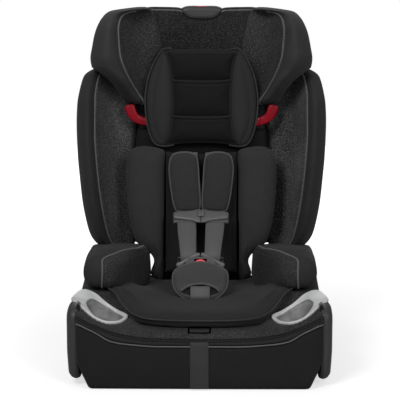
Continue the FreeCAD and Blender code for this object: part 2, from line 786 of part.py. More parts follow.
def make_back_shell():
    """A flanged plate with stiffening ribs behind it, strap slots, and lugs on the axle."""
    half, waist = dim("shell_half"), dim("waist_half")
    low, top = dim("shell_low"), dim("shell_top")
    outline = mirrored_outline([
        (waist - 16, low), (waist, low + 14), (waist, 92), (0.56 * half, 112), (0.8 * half, 124),
        (0.93 * half, 160), (half, 240), (half, 340), (0.96 * half, 395), (0.84 * half, 430),
        (0.7 * half, 446), (0.58 * half, 470), (0.4 * half, top)])
    thick = dim("shell_thick")
    deep = dim("shell_rib_deep")
    pieces = [prism("back_plate", "XZ", outline, 0, thick)]
    for side, name in SIDES:
        pieces.append(block(f"spine_{name}", sided(side, 92, 100), (thick - 1, deep), (112, 455)))
        pieces.append(block(f"foot_spine_{name}", sided(side, dim("lug_inner"), dim("lug_inner") + 6),
                            (thick - 1, deep), (20, 455)))
        pieces.append(rod(f"axle_lug_{name}", "x", dim("lug_radius") - 3,
                          *sided(side, dim("lug_inner"), dim("lug_outer")), (0, 0)))
    for height in (118, 210, 330, 440):
        pieces.append(block(f"cross_rib_{height}", (-100, 100), (thick - 1, deep - 6),
                            (height, height + 5)))
    solid = fuse("back_solid", *pieces)
    bore = rod("back_axle_bore", "x", dim("axle_radius") + dim("axle_clearance"), -90, 90, (0, 0))
    slots = strap_slot_blocks("back_slot", -5, deep + 5)
    shell = cut("back_shell", solid, bore, *slots)
    node(shell, "back_shell", BACK_FRAME)


def make_torso_wings():
    """Deep padded side wings that grow forward out of the shell and narrow at both ends."""
    inner, outer = dim("wing_inner"), dim("wing_outer")
    low, top = dim("wing_low"), dim("wing_top")
    front, back = dim("wing_front"), dim("wing_back")
    plan_shares = [(0, 0), (0.25, 0), (0.72, 0.1), (0.97, 0.4), (1, 0.7), (0.93, 0.93),
                   (0.8, 1), (0.64, 0.97), (0.56, 0.8), (0.5, 0.55), (0.33, 0.33), (0, 0.22)]
    front_shares = [(0, 0), (0.54, 0.01), (0.72, 0.08), (0.87, 0.25), (0.95, 0.42), (1, 0.66),
                    (1, 0.8), (0.92, 0.9), (0.76, 1), (0.6, 0.97), (0.4, 0.87), (0.13, 0.72),
                    (0, 0.64)]
    side_shares = [(0, 0), (0.62, 0), (0.85, 0.08), (0.97, 0.24), (1, 0.45), (0.97, 0.65),
                   (0.84, 0.84), (0.62, 0.95), (0.42, 1), (0, 1)]
    for side, name in SIDES:
        plan = [(side * between(inner, outer, x), between(back, front, y)) for x, y in plan_shares]
        front_view = [(side * between(inner, outer, x), between(low, top, z))
                      for x, z in front_shares]
        side_view = [(between(back, front, y), between(low, top, z)) for y, z in side_shares]
        wing = common(
            f"torso_wing_{name}",
            prism(f"wing_plan_{name}", "XY", plan, low - 5, top + 5),
            prism(f"wing_front_{name}", "XZ", front_view, front - 5, back + 5),
            prism(f"wing_side_{name}", "YZ", side_view, *sided(side, inner - 5, outer + 5)))
        node(wing, f"torso_wing_{name}", BACK_FRAME)


def strap_slot_blocks(label, front, back):
    """The pair of slots that the shoulder straps take through a pad."""
    height, tall = dim("strap_slot_height"), dim("strap_slot_tall")
    return [block(f"{label}_{name}",
                  sided(side, dim("strap_side") - dim("strap_slot_half"),
                        dim("strap_side") + dim("strap_slot_half")),
                  (front, back), (height - tall * 0.5, height + tall * 0.5))
            for side, name in SIDES]


def make_back_pad():
    half, low, top = dim("back_pad_half"), dim("back_pad_low"), dim("back_pad_top")
    front, back = dim("back_pad_front"), dim("back_pad_back")
    outline = mirrored_outline([(0.58 * half, low), (0.62 * half, low + 20), (0.98 * half, low + 52),
                                (half, top - 40), (0.9 * half, top - 8), (0.6 * half, top)])
    pad = cut("back_pad", prism("back_pad_blank", "XZ", outline, front, back),
              *strap_slot_blocks("back_pad_slot", front - 5, back + 5))
    node(pad, "back_pad", BACK_FRAME)


def make_body_insert():
    """The removable infant cushion on the backrest, with a lobe at each side of the chest."""
    half, low, top = dim("body_insert_half"), dim("body_insert_low"), dim("body_insert_top")
    front, back = dim("body_insert_front"), dim("body_insert_back")
    shares = [(0.53, 0), (0.57, 0.14), (0.66, 0.23), (0.76, 0.29), (0.88, 0.34), (0.95, 0.41),
              (0.99, 0.6), (1, 0.76), (0.98, 0.92), (0.87, 0.99), (0.7, 1)]
    outline = mirrored_outline(shares_to_points(shares, half, low, top))
    pad = cut("body_insert", prism("body_insert_blank", "XZ", outline, front, back),
              *strap_slot_blocks("insert_slot_row", front - 5, back + 5))
    node(pad, "body_insert", BACK_FRAME)


def make_guide_rods():
    """Two steel rods for the headrest, their end clamps, and the notched height rack."""
    side_place, depth, radius = dim("rod_side"), dim("rod_depth"), dim("rod_radius")
    low, top, tall = dim("rod_low"), dim("rod_top"), dim("clamp_tall")
    rods, clamps = [], []
    for side, name in SIDES:
        rods.append(rod(f"guide_rod_{name}", "z", radius, low, top, (side * side_place, depth)))
        for end, start in (("low", low), ("top", top - tall)):
            blank = block(f"clamp_blank_{name}_{end}", sided(side, side_place - 9, side_place + 9),
                          (depth - 6, 0), (start, start + tall))
            bore = rod(f"clamp_bore_{name}_{end}", "z", radius, start - 1, start + tall + 1,
                       (side * side_place, depth))
            clamps.append(cut(f"clamp_{name}_{end}", blank, bore))
    node(group("guide_rods", rods), "guide_rods", BACK_FRAME)
    node(group("rod_clamps", clamps), "rod_clamps", BACK_FRAME)


def make_headrest_rack():
    """A toothed strip between the rods: one notch for each headrest height."""
    half, low, top = dim("rack_half"), dim("rack_low"), dim("rack_top")
    depth = dim("rod_depth")
    strip_blank = block("rack_blank", (-half, half), (depth - 1, 0), (low, top))
    notches = []
    for number in range(int(DIMENSIONS["rack_notches"])):
        height = dim("lock_bar_low") - 110 + dim("rack_step") * number
        notches.append(block(f"rack_notch_{number}", (4 - half, half - 4), (depth - 5, -3),
                             (height, height + 8)))
    node(cut("headrest_rack", strip_blank, *notches), "headrest_rack", BACK_FRAME)


def make_shoulder_straps():
    """Webbing over the shoulders: through the shell, down behind the pads and on to the buckle."""
    bend_front, bend_height = dim("strap_bend_front"), dim("strap_bend_height")
    slot = dim("strap_slot_height")
    drop = math.radians(DIMENSIONS["strap_drop_angle"])
    length = dim("strap_joint")
    path = [(26, slot - 60), (26, slot - 8), (18, slot), (bend_front + 12, slot),
            (bend_front, slot - 12), (bend_front, bend_height),
            (bend_front - length * math.sin(drop), bend_height - length * math.cos(drop))]
    half = dim("strap_wide") * 0.5
    for side, name in SIDES:
        webbing = prism(f"shoulder_strap_{name}", "YZ", strip(path, dim("strap_thick")),
                        *sided(side, dim("strap_side") - half, dim("strap_side") + half))
        node(webbing, f"shoulder_strap_{name}", BACK_FRAME)


def make_shoulder_pads():
    """Soft sleeves round the shoulder straps."""
    low, top = dim("shoulder_pad_low"), dim("shoulder_pad_top")
    bend = dim("strap_bend_front")
    thick = dim("shoulder_pad_thick")
    for side, name in SIDES:
        outline = [(side * x, z) for x, z in (
            (4.5, low), (44, low), (50, low + 20), (57, top - 26), (55, top - 3), (46, top),
            (18, top), (9, top - 10), (2.5, low + 40))]
        blank = prism(f"shoulder_pad_blank_{name}", "XZ", outline, bend - thick * 0.5,
                      bend + thick * 0.5)
        sleeve = block(f"shoulder_pad_sleeve_{name}", sided(side, 6, 42), (bend - 1.6, bend + 1.6),
                       (low - 5, top + 5))
        node(cut(f"shoulder_pad_{name}", blank, sleeve), f"shoulder_pad_{name}", BACK_FRAME)


def make_splitter():
    """Behind the shell the two shoulder straps hook on a steel yoke above one webbing tail."""
    slot = dim("strap_slot_height")
    outline = mirrored_outline([(16, slot - 98), (24, slot - 88), (46, slot - 78), (46, slot - 62)])
    yoke = prism("splitter_plate", "XZ", outline, 24, 27)
    node(yoke, "splitter_plate", BACK_FRAME)
    tail = prism("harness_rear_strap", "YZ",
                 strip([(26, slot - 99.5), (24, 40), (20, -14), (12, -28)], dim("strap_thick")),
                 -15, 15)
    node(tail, "harness_rear_strap", BACK_FRAME)


# ---------------------------------------------------------------- headrest

def make_headrest_shell():
    """The headrest's plate, with two long legs that carry the sliders."""
    front, back = dim("head_plate_front"), dim("head_plate_back")
    low, top = dim("head_low") + 10, dim("head_top") - 3
    half = dim("head_half") - 42
    plate = prism("head_plate", "XZ", mirrored_outline([
        (0.7 * half, low), (0.86 * half, low + 18), (half, low + 60), (0.97 * half, top - 22),
        (0.85 * half, top), (dim("handle_half") + 6, top), (dim("handle_half") + 2, top - 26)]),
        front, back)
    pieces = [plate]
    rod_side, leg_half = dim("rod_side"), dim("leg_half")
    for side, name in SIDES:
        pieces.append(block(f"head_leg_{name}", sided(side, rod_side - leg_half, rod_side + leg_half),
                            (front, back), (dim("leg_low"), low + 30)))
    node(fuse("headrest_shell", *pieces), "headrest_shell", BACK_FRAME)


def make_headrest_sliders():
    """Four plastic bushes that run on the rods with a small clearance."""
    side_place, depth = dim("rod_side"), dim("rod_depth")
    bushes = []
    for side, name in SIDES:
        for end in ("slider_low", "slider_high"):
            start = dim(end)
            blank = block(f"bush_blank_{name}_{end}", sided(side, side_place - 9, side_place + 9),
                          (dim("head_plate_back"), -1), (start, start + dim("slider_tall")))
            bore = rod(f"bush_bore_{name}_{end}", "z",
                       dim("rod_radius") + dim("slider_clearance"),
                       start - 1, start + dim("slider_tall") + 1, (side * side_place, depth))
            bushes.append(cut(f"bush_{name}_{end}", blank, bore))
    node(group("headrest_sliders", bushes), "headrest_sliders", BACK_FRAME)


def make_head_wings():
    """Thick side wings round the head, widest near the top and cut away at the foot."""
    inner, outer = dim("head_inner"), dim("head_half")
    low, top = dim("head_low"), dim("head_top")
    front, back = dim("head_front"), dim("head_plate_front") - 0.5
    plan_shares = [(0, 0), (0.5, 0), (0.9, 0.28), (1, 0.62), (0.94, 0.88), (0.75, 1),
                   (0.54, 0.96), (0.36, 0.65), (0.2, 0.38), (0, 0.23)]
    front_shares = [(0, 0.03), (0.41, 0), (0.48, 0.1), (0.68, 0.25), (0.98, 0.38), (1, 0.47),
                    (0.96, 0.6), (0.91, 0.72), (0.84, 0.84), (0.66, 0.96), (0.23, 1), (0, 0.99)]
    side_shares = [(0, 0.02), (0.8, 0), (0.96, 0.14), (1, 0.4), (0.98, 0.7), (0.85, 0.92),
                   (0.6, 1), (0, 1)]
    for side, name in SIDES:
        plan = [(side * between(inner, outer, x), between(back, front, y)) for x, y in plan_shares]
        front_view = [(side * between(inner, outer, x), between(low, top, z))
                      for x, z in front_shares]
        side_view = [(between(back, front, y), between(low, top, z)) for y, z in side_shares]
        wing = common(
            f"head_wing_{name}",
            prism(f"head_plan_{name}", "XY", plan, low - 5, top + 5),
            prism(f"head_front_{name}", "XZ", front_view, front - 5, back + 5),
            prism(f"head_side_{name}", "YZ", side_view, *sided(side, inner - 5, outer + 5)))
        node(wing, f"head_wing_{name}", BACK_FRAME)


def make_headrest_pads():
    """The flat pad between the head wings, with a notch for the handle, and the head pillow."""
    half, low, top = dim("head_inner") - 1, dim("head_low") + 8, dim("head_top") - 3
    room = dim("handle_half") + dim("handle_room")
    centre = prism("headrest_centre_pad", "XZ", mirrored_outline([
        (half, low), (half, top), (room, top), (room - 4, dim("handle_low") - 7)]),
        dim("head_pad_front"), dim("head_plate_front") - 0.5)
    node(centre, "headrest_centre_pad", BACK_FRAME)
    shares = [(0.7, 0), (0.84, 0.05), (0.94, 0.2), (1, 0.4), (1, 0.58), (0.95, 0.76),
              (0.87, 0.88), (0.71, 1)]
    pillow = prism("head_pillow", "XZ", mirrored_outline(shares_to_points(
        shares, dim("pillow_half"), dim("pillow_low"), dim("pillow_top"))),
        dim("pillow_front"), dim("pillow_back"))
    node(pillow, "head_pillow", BACK_FRAME)


def make_belt_guides():
    """Red hooks under the head wings that hold a vehicle's shoulder belt."""
    low = dim("head_low")
    for side, name in SIDES:
        hook = [(99.5, -36), (116, -33), (133, -20), (142, -4), (131, -2), (122, -14), (112, -23),
                (108, -24), (108, -1), (99.5, -1)]
        outline = [(side * x, low + z) for x, z in hook]
        guide = prism(f"belt_guide_{name}", "XZ", outline, -66, dim("head_pad_front") - 0.5)
        node(guide, f"belt_guide_{name}", BACK_FRAME)


def make_handle():
    """The pull handle at the top, hollow for the fingers, with its stem and lock bar behind."""
    half, low, top = dim("handle_half"), dim("handle_low"), dim("handle_top")
    front, back = dim("handle_front"), dim("handle_back")
    grip = cut("handle_grip", block("handle_blank", (-half, half), (front, back), (low, top)),
               block("finger_recess", (7 - half, half - 7), (front + 4, back - 4),
                     (low - 5, top - 5)))
    stem_front, stem_back = dim("head_plate_back") + 0.5, dim("rod_depth") - 2.5
    pieces = [
        grip,
        block("handle_bridge", (-8, 8), (back - 1, stem_back), (low + 6, low + 15)),
        block("handle_stem", (-8, 8), (stem_front, stem_back), (dim("lock_bar_low"), low + 15)),
        block("lock_bar", (-12, 12), (stem_front, stem_back),
              (dim("lock_bar_low"), dim("lock_bar_low") + 6)),
    ]
    node(fuse("headrest_handle", *pieces), "headrest_handle", BACK_FRAME)


# ---------------------------------------------------------------- chest clip

def make_chest_clip():
    """Two clip halves that slide on the shoulder straps, and the release tab between them."""
    half, low, top = dim("clip_half"), dim("clip_low"), dim("clip_top")
    front, back = dim("clip_front"), dim("clip_back")
    middle = between(low, top, 0.5)
    for side, name in SIDES:
        outline = [(side * x, z) for x, z in (
            (0.1, low), (12, low), (22, low + 4), (half - 3, low + 5), (half, low + 8),
            (half, top - 8), (half - 3, top - 5), (14, top - 3), (12, top), (0.1, top))]
        blank = prism(f"clip_blank_{name}", "XZ", outline, front, back)
        slot = block(f"clip_slot_{name}", sided(side, 5, 43), (-2.2, 2.2), (low - 5, top + 5))
        tab_room = block(f"clip_tab_room_{name}", (-7.4, 7.4), (front - 2, front + 5.4),
                         (middle - 7.4, middle + 7.4))
        node(cut(f"chest_clip_{name}", blank, slot, tab_room), f"chest_clip_{name}", STRAP_FRAME)
    tab = block("chest_clip_tab", (-7, 7), (front - 1.5, front + 3), (middle - 7, middle + 7))
    node(tab, "chest_clip_tab", STRAP_FRAME)


# ---------------------------------------------------------------- build, check and write

def check_document():
    """Stops if any object failed or any sub-part is empty or invalid."""
    for item in doc.Objects:
        bad = [state for state in item.State if state in ("Invalid", "Error")]
        if bad:
            raise RuntimeError(f"{item.Label}: {bad}")
    for item in nodes:
        if item.Shape.isNull() or not item.Shape.isValid():
            raise RuntimeError(f"{item.Label}: empty or invalid shape")


def build():
    fill_sheet()
    for make in (
            make_base_shell, make_rubber_feet, make_recline_axle, make_side_panels,
            make_cup_trays, make_seat_cover, make_front_skirt, make_seat_insert_pad,
            make_armrests, make_crotch_strap, make_buckle, make_tongues, make_crotch_pad,
            make_lap_straps, make_adjuster, make_adjuster_strap, make_back_shell,
            make_torso_wings, make_back_pad, make_body_insert, make_guide_rods,
            make_headrest_rack, make_shoulder_straps, make_shoulder_pads, make_splitter,
            make_headrest_shell, make_headrest_sliders, make_head_wings, make_headrest_pads,
            make_belt_guides, make_handle, make_chest_clip):
        make()
    doc.recompute()
    check_document()
    os.makedirs("parts", exist_ok=True)
    for item in nodes:
        item.Shape.exportStep(f"parts/{item.Label}.step")
        print(item.Label, len(item.Shape.Solids), round(item.Shape.Volume / 1000, 1), "cm3")


build()
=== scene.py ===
import json
import math

import bmesh
import bpy
import numpy as np
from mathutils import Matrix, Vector
from mathutils.geometry import delaunay_2d_cdt


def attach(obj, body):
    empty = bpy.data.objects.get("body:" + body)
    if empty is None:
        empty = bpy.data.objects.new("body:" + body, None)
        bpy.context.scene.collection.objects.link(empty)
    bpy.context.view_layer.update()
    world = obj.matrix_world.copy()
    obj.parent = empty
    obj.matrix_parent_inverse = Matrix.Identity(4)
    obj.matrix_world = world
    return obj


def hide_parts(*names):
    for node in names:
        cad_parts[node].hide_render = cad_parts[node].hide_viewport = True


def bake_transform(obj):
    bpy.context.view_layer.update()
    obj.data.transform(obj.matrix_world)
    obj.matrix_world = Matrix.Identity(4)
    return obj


# The looks of a harness booster seat: quilted fabric covers, piping, webbing and moulded plastic
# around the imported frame. Lengths here are millimetres in one of the seat's own leaning frames,
# x across, y back and z up, and become metres when a mesh is made. Left is the -X side.

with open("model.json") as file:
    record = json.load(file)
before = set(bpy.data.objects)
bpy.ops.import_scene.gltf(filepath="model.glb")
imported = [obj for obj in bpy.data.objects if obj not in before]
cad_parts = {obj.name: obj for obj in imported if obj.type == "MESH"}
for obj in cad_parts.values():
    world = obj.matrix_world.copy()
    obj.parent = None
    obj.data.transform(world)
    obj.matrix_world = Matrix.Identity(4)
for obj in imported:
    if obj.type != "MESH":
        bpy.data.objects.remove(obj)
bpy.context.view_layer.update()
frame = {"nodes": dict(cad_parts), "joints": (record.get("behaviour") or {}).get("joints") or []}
MM = 0.001
JOINTS = {joint["name"]: joint for joint in frame["joints"]}
SIDES = {"left": -1, "right": 1}


# ---------------------------------------------------------------- frames and places

class Lean:
    """A frame that leans about X, with its origin and sizes in millimetres."""

    def __init__(self, origin, up):
        up = np.array(up, float) / np.linalg.norm(up)
        across = np.array((1.0, 0.0, 0.0))
        self.origin = np.array(origin, float)
        self.axes = np.array((across, np.cross(up, across), up))

    def out(self, points):
        """Points of this frame as points of the row frame."""
        return self.origin + np.asarray(points, float) @ self.axes

    def into(self, points):
        """Points of the row frame as points of this frame."""
        return (np.asarray(points, float) - self.origin) @ self.axes.T

    def extent(self, node):
        """The lowest and highest corners of a CAD node in this frame."""
        corners = np.array([v.co for v in frame["nodes"][node].data.vertices], float) / MM
        local = self.into(corners)
        return local.min(0), local.max(0)


def press_up(joint):
    """The upright of a frame whose back direction is the way that a button travels."""
    back = Vector(JOINTS[joint]["axis"])
    return Vector((1, 0, 0)).cross(back)


def outward(low, high):
    """How far a box's inner and outer faces are from the middle of the seat."""
    return sorted((abs(low[0]), abs(high[0])))


WORLD = Lean((0, 0, 0), (0, 0, 1))
BACK = Lean(np.array(JOINTS["recline"]["pos_m"]) / MM, JOINTS["headrest_height"]["axis"])
CROTCH = Lean((0, 0, 0), press_up("buckle_press"))
CHEST = Lean((0, 0, 0), press_up("clip_press"))


def through(pairs):
    """A smooth function of one number through (number, value) pairs, which doesn't overshoot."""
    xs, ys = (np.array(v, float) for v in zip(*sorted(pairs)))
    slope = np.diff(ys) / np.diff(xs)
    tangent = np.zeros(len(xs))
    for i in range(1, len(xs) - 1):
        if slope[i - 1] * slope[i] > 0:
            tangent[i] = 2 * slope[i - 1] * slope[i] / (slope[i - 1] + slope[i])
    tangent[0], tangent[-1] = slope[0], slope[-1]

    def value(x):
        x = np.clip(x, xs[0], xs[-1])
        i = np.clip(np.searchsorted(xs, x, side="right") - 1, 0, len(xs) - 2)
        gap = xs[i + 1] - xs[i]
        s = (x - xs[i]) / gap
        return (
            ys[i] * (1 + 2 * s) * (1 - s) ** 2
            + ys[i + 1] * s * s * (3 - 2 * s)
            + gap * s * (1 - s) * (tangent[i] * (1 - s) - tangent[i + 1] * s)
        )

    return value


def step_up(low, high, x):
    """0 below low, 1 above high and a smooth rise between them."""
    s = np.clip((np.asarray(x, float) - low) / (high - low), 0, 1)
    return s * s * (3 - 2 * s)


def curve(points, closed=False, per=8):
    """A smooth line through the points, with `per` samples to a span."""
    p = np.array(points, float)
    last = len(p) if closed else len(p) - 1
    line = []
    for i in range(last):
        if closed:
            a, b, c, d = p[i - 1], p[i], p[(i + 1) % len(p)], p[(i + 2) % len(p)]
        else:
            a, b, c, d = p[max(i - 1, 0)], p[i], p[i + 1], p[min(i + 2, len(p) - 1)]
        for s in np.arange(per) / per:
            line.append(
                0.5 * (2 * b + (c - a) * s + (2 * a - 5 * b + 4 * c - d) * s**2)
                + 0.5 * (3 * b - a - 3 * c + d) * s**3
            )
    if not closed:
        line.append(p[-1])
    return np.array(line)


def even(line, step, closed=False):
    """The same line with its points about `step` apart."""
    p = np.vstack([line, line[:1]]) if closed else np.array(line, float)
    along = np.concatenate([[0], np.cumsum(np.linalg.norm(np.diff(p, axis=0), axis=1))])
    count = max(int(round(along[-1] / step)), 3)
    marks = np.linspace(0, along[-1], count + 1)
    if closed:
        marks = marks[:-1]
    return np.stack([np.interp(marks, along, p[:, k]) for k in range(p.shape[1])], 1)


def mirrored(points, side):
    """The points on the -X side or the +X side, from points whose x is counted outwards."""
    return [(side * p[0], *p[1:]) for p in points]


def inside(points, loop):
    """Which flat points lie inside a closed loop."""
    x, z = points[:, 0], points[:, 1]
    odd = np.zeros(len(points), bool)
    for (x0, z0), (x1, z1) in zip(loop, np.roll(loop, -1, axis=0)):
        crosses = (z0 > z) != (z1 > z)
        odd ^= crosses & (x < (x1 - x0) * (z - z0) / (z1 - z0 + 1e-12) + x0)
    return odd


def distance(points, line, closed=False):
    """How far each flat point is from a line of points."""
    ends = np.roll(line, -1, axis=0) if closed else line[1:]
    starts = line if closed else line[:-1]
    best = np.full(len(points), 1e9)
    for a, b in zip(starts, ends):
        span = b - a
        s = np.clip((points - a) @ span / max(span @ span, 1e-9), 0, 1)
        best = np.minimum(best, np.linalg.norm(points - a - s[:, None] * span, axis=1))
    return best


def rounded(d, radius):
    """The height of a rounded edge at a distance d inside it, from 0 to 1."""
    s = np.clip(np.asarray(d, float) / radius, 0, 1)
    return np.sqrt(1 - (1 - s) ** 2)


def in_box(left, wide, foot, tall, shares):
    """Flat points (across, up) from shares of a box's width and height."""
    return [(left + across * wide, foot + up * tall) for across, up in shares]


# ---------------------------------------------------------------- making pieces

def piece(name, points, faces, finish, finish_of=None, uvs=None):
    """A mesh object from points in row-frame millimetres. finish is a material or several."""
    data = bpy.data.meshes.new(name)
    data.from_pydata([tuple(p) for p in np.asarray(points, float) * MM], [], faces)
    finishes = finish if isinstance(finish, (list, tuple)) else [finish]
    for material in finishes:
        data.materials.append(material)
    if finish_of is not None:
        data.polygons.foreach_set("material_index", finish_of)
    if uvs is not None:
        layer = data.uv_layers.new(name="along")
        for loop in data.loops:
            layer.data[loop.index].uv = uvs[loop.vertex_index]
    form = bmesh.new()
    form.from_mesh(data)
    bmesh.ops.recalc_face_normals(form, faces=form.faces)
    form.to_mesh(data)
    form.free()
    data.polygons.foreach_set("use_smooth", [True] * len(data.polygons))
    made = bpy.data.objects.new(name, data)
    bpy.context.scene.collection.objects.link(made)
    return made


def loft(name, rings, finish, finish_of_column=None, closed=False, uvs=None):
    """A skin over rings of points. closed joins the last ring to the first; otherwise the ends
    are filled."""
    rings = np.asarray(rings, float)
    count, size = rings.shape[:2]
    columns = finish_of_column if finish_of_column is not None else [0] * size
    points = rings.reshape(-1, 3).tolist()
    faces, finish_of = [], []
    for i in range(count if closed else count - 1):
        j = (i + 1) % count
        for k in range(size):
            m = (k + 1) % size
            faces.append((i * size + k, i * size + m, j * size + m, j * size + k))
        finish_of += columns
    if not closed:
        for ring in (0, count - 1):
            points.append(rings[ring].mean(0).tolist())
            for k in range(size):
                m = (k + 1) % size
                faces.append((ring * size + k, ring * size + m, len(points) - 1))
            finish_of += columns
        if uvs is not None:
            uvs = list(uvs) + [(0, 0)] * 2
    return piece(name, points, faces, finish, finish_of, uvs=uvs)


def sweep(name, path, section, finish, side=None, closed=False, width=lambda share: 1.0):
    """A section, as (across, lift) points, carried along a path. side fixes which way is across,
    and width scales the section across at each share of the path."""
    path = np.asarray(path, float)
    ahead = np.roll(path, -1, axis=0) - np.roll(path, 1, axis=0) if closed else np.gradient(path, axis=0)
    ahead /= np.linalg.norm(ahead, axis=1)[:, None]
    not_along = (0.31, 0.17, 0.93)
    across = np.array(side if side is not None else not_along, float)
    rings, uvs, gone = [], [], 0.0
    section = np.asarray(section, float)
    for i, (point, direction) in enumerate(zip(path, ahead)):
        across = across - (across @ direction) * direction
        across /= np.linalg.norm(across)
        lift = np.cross(across, direction)
        wide = float(width(i / (len(path) - 1)))
        rings.append(point + section[:, :1] * wide * across + section[:, 1:] * lift)
        if i:
            gone += np.linalg.norm(point - path[i - 1])
        uvs += [(s[0], gone) for s in section]
        if side is not None:
            across = np.array(side, float)
    return loft(name, rings, finish, closed=closed, uvs=uvs)


def circle(radius):
    """A round section."""
    sides = 8
    turns = np.arange(sides) * 2 * math.pi / sides
    return [(radius * math.cos(t), radius * math.sin(t)) for t in turns]


def ribbon(width, thick):
    """The section of a webbing strap: flat, with soft edges."""
    half, edge = width / 2, thick / 2
    flat = [(-half, 0), (-half + edge, edge), (0, edge * 1.15), (half - edge, edge), (half, 0)]
    return flat + [(half - edge, -edge), (0, -edge), (-half + edge, -edge)]


def soft_bar(half_wide, half_deep, square):
    """The section of a moulded bar, as points across and through: round at 1, squarer below."""
    turn = np.arange(16) * math.pi / 8
    wide = np.sign(np.cos(turn)) * np.abs(np.cos(turn)) ** square * half_wide
    deep = np.sign(np.sin(turn)) * np.abs(np.sin(turn)) ** square * half_deep
    return wide, deep


def hug(made, line):
    """A line of trim laid on the surface of a padded piece, where its edge is after it filled."""
    bpy.context.view_layer.update()
    return np.array([np.array(made.closest_point_on_mesh(Vector(point * MM))[1]) / MM for point in line])


def quilt(name, loop, front, back, place, finish, step=4.0, finish_at=None):
    """A padded panel inside a closed seam. At flat points p, d inside the seam, front(p, d) and
    back(p, d) say how far its two faces stand from the seam's own surface, which place() gives."""
    loop = even(loop, step, closed=True)
    low, high = loop.min(0), loop.max(0)
    grid = []
    row_gap, clear_of_seam, seam_rows = 0.87, 1.35, (0.12, 0.4, 0.85)  # in steps
    for row, up in enumerate(np.arange(low[1], high[1], step * row_gap)):
        shift = step / 2 * (row % 2)
        grid += [(x + shift, up) for x in np.arange(low[0], high[0], step)]
    grid = np.array(grid)
    normal = np.roll(loop, -1, axis=0) - np.roll(loop, 1, axis=0)
    normal = np.stack([normal[:, 1], -normal[:, 0]], 1) / np.linalg.norm(normal, axis=1)[:, None]
    if not inside(loop[:1] + normal[:1] * step * 0.1, loop)[0]:
        normal = -normal
    grid = grid[inside(grid, loop) & (distance(grid, loop, True) > step * clear_of_seam)]
    rows = []
    for share in seam_rows:
        row = loop + normal * step * share
        rows.append(row[inside(row, loop) & (distance(row, loop, True) > step * share * 0.8)])
    flat = np.vstack([loop, *rows, grid])
    count = len(loop)
    seam_edges = [(i, (i + 1) % count) for i in range(count)]
    found, _, faces = delaunay_2d_cdt([Vector(p) for p in flat], seam_edges, [], 1, 1e-5)[:3]
    flat = np.array(found, float)
    d = distance(flat, loop, True)
    on_seam = d < 1e-3
    d[on_seam] = 0
    top = place(flat, np.where(on_seam, 0, front(flat, d)))
    under = place(flat, np.where(on_seam, 0, -back(flat, d)))
    number = np.arange(len(flat))
    number[~on_seam] = len(flat) + np.arange((~on_seam).sum())
    points = np.vstack([top, under[~on_seam]])
    faces = [tuple(f) for f in faces if not on_seam[list(f)].all()]
    back_faces = [tuple(int(number[i]) for i in reversed(f)) for f in faces]
    finish_of = [0] * (len(faces) + len(back_faces))
    if finish_at is not None:
        middle = np.array([flat[list(f)].mean(0) for f in faces])
        finish_of[: len(faces)] = [int(v) for v in finish_at(middle)]
    return piece(name, points, faces + back_faces, finish, finish_of)


def puff(height, radius):
    """A padded face that stands `height` off its seam, with an edge rounded to the radius."""
    return lambda p, d: height * rounded(d, radius)


def groove(line, width, depth):
    """A sewn channel along a flat line: how far it pulls the fabric in at flat points."""
    line = even(line, 4.0)
    return lambda p: depth * np.exp(-((distance(p, line) / width) ** 2))


def stitches(name, path, finish):
    """A row of sewing stitches along a path."""
    pitch, long, radius, sides = 6.0, 3.6, 0.55, 6
    shape = [(-0.5, 0.35), (-0.3, 1.0), (0.3, 1.0), (0.5, 0.35)]
    not_along = (0.3, 0.2, 0.93)
    marks = even(path, pitch)
    points, faces = [], []
    for a, b in zip(marks, marks[1:]):
        ahead = (b - a) / np.linalg.norm(b - a)
        across = np.cross(ahead, not_along)
        across /= np.linalg.norm(across)
        lift = np.cross(across, ahead)
        base = len(points)
        for share, fat in shape:
            for turn in range(sides):
                angle = turn * 2 * math.pi / sides
                out = across * math.cos(angle) + lift * math.sin(angle)
                points.append((a + b) / 2 + ahead * share * long + out * radius * fat)
        for ring in range(len(shape) - 1):
            row = base + ring * sides
            for turn in range(sides):
                after = (turn + 1) % sides
                faces.append((row + turn, row + after, row + sides + after, row + sides + turn))
        for first in (base, len(points) - sides):
            faces.append(tuple(first + turn for turn in range(sides)))
    return piece(name, points, faces, finish)


def evaluated(made):
    """A new mesh of a piece as its modifiers leave it."""
    graph = bpy.context.evaluated_depsgraph_get()
    return bpy.data.meshes.new_from_object(made.evaluated_get(graph))


def remesh_evenly(made, voxel):
    """Gives a piece an even mesh of `voxel` millimetres, with the finishes that it had."""
    remesh = made.modifiers.new("even_mesh", "REMESH")
    remesh.mode = "VOXEL"
    remesh.voxel_size = voxel * MM
    remesh.use_smooth_shade = True
    mesh = evaluated(made)
    made.modifiers.clear()
    mesh.materials.clear()
    for material in made.data.materials:
        mesh.materials.append(material)
    made.data = mesh


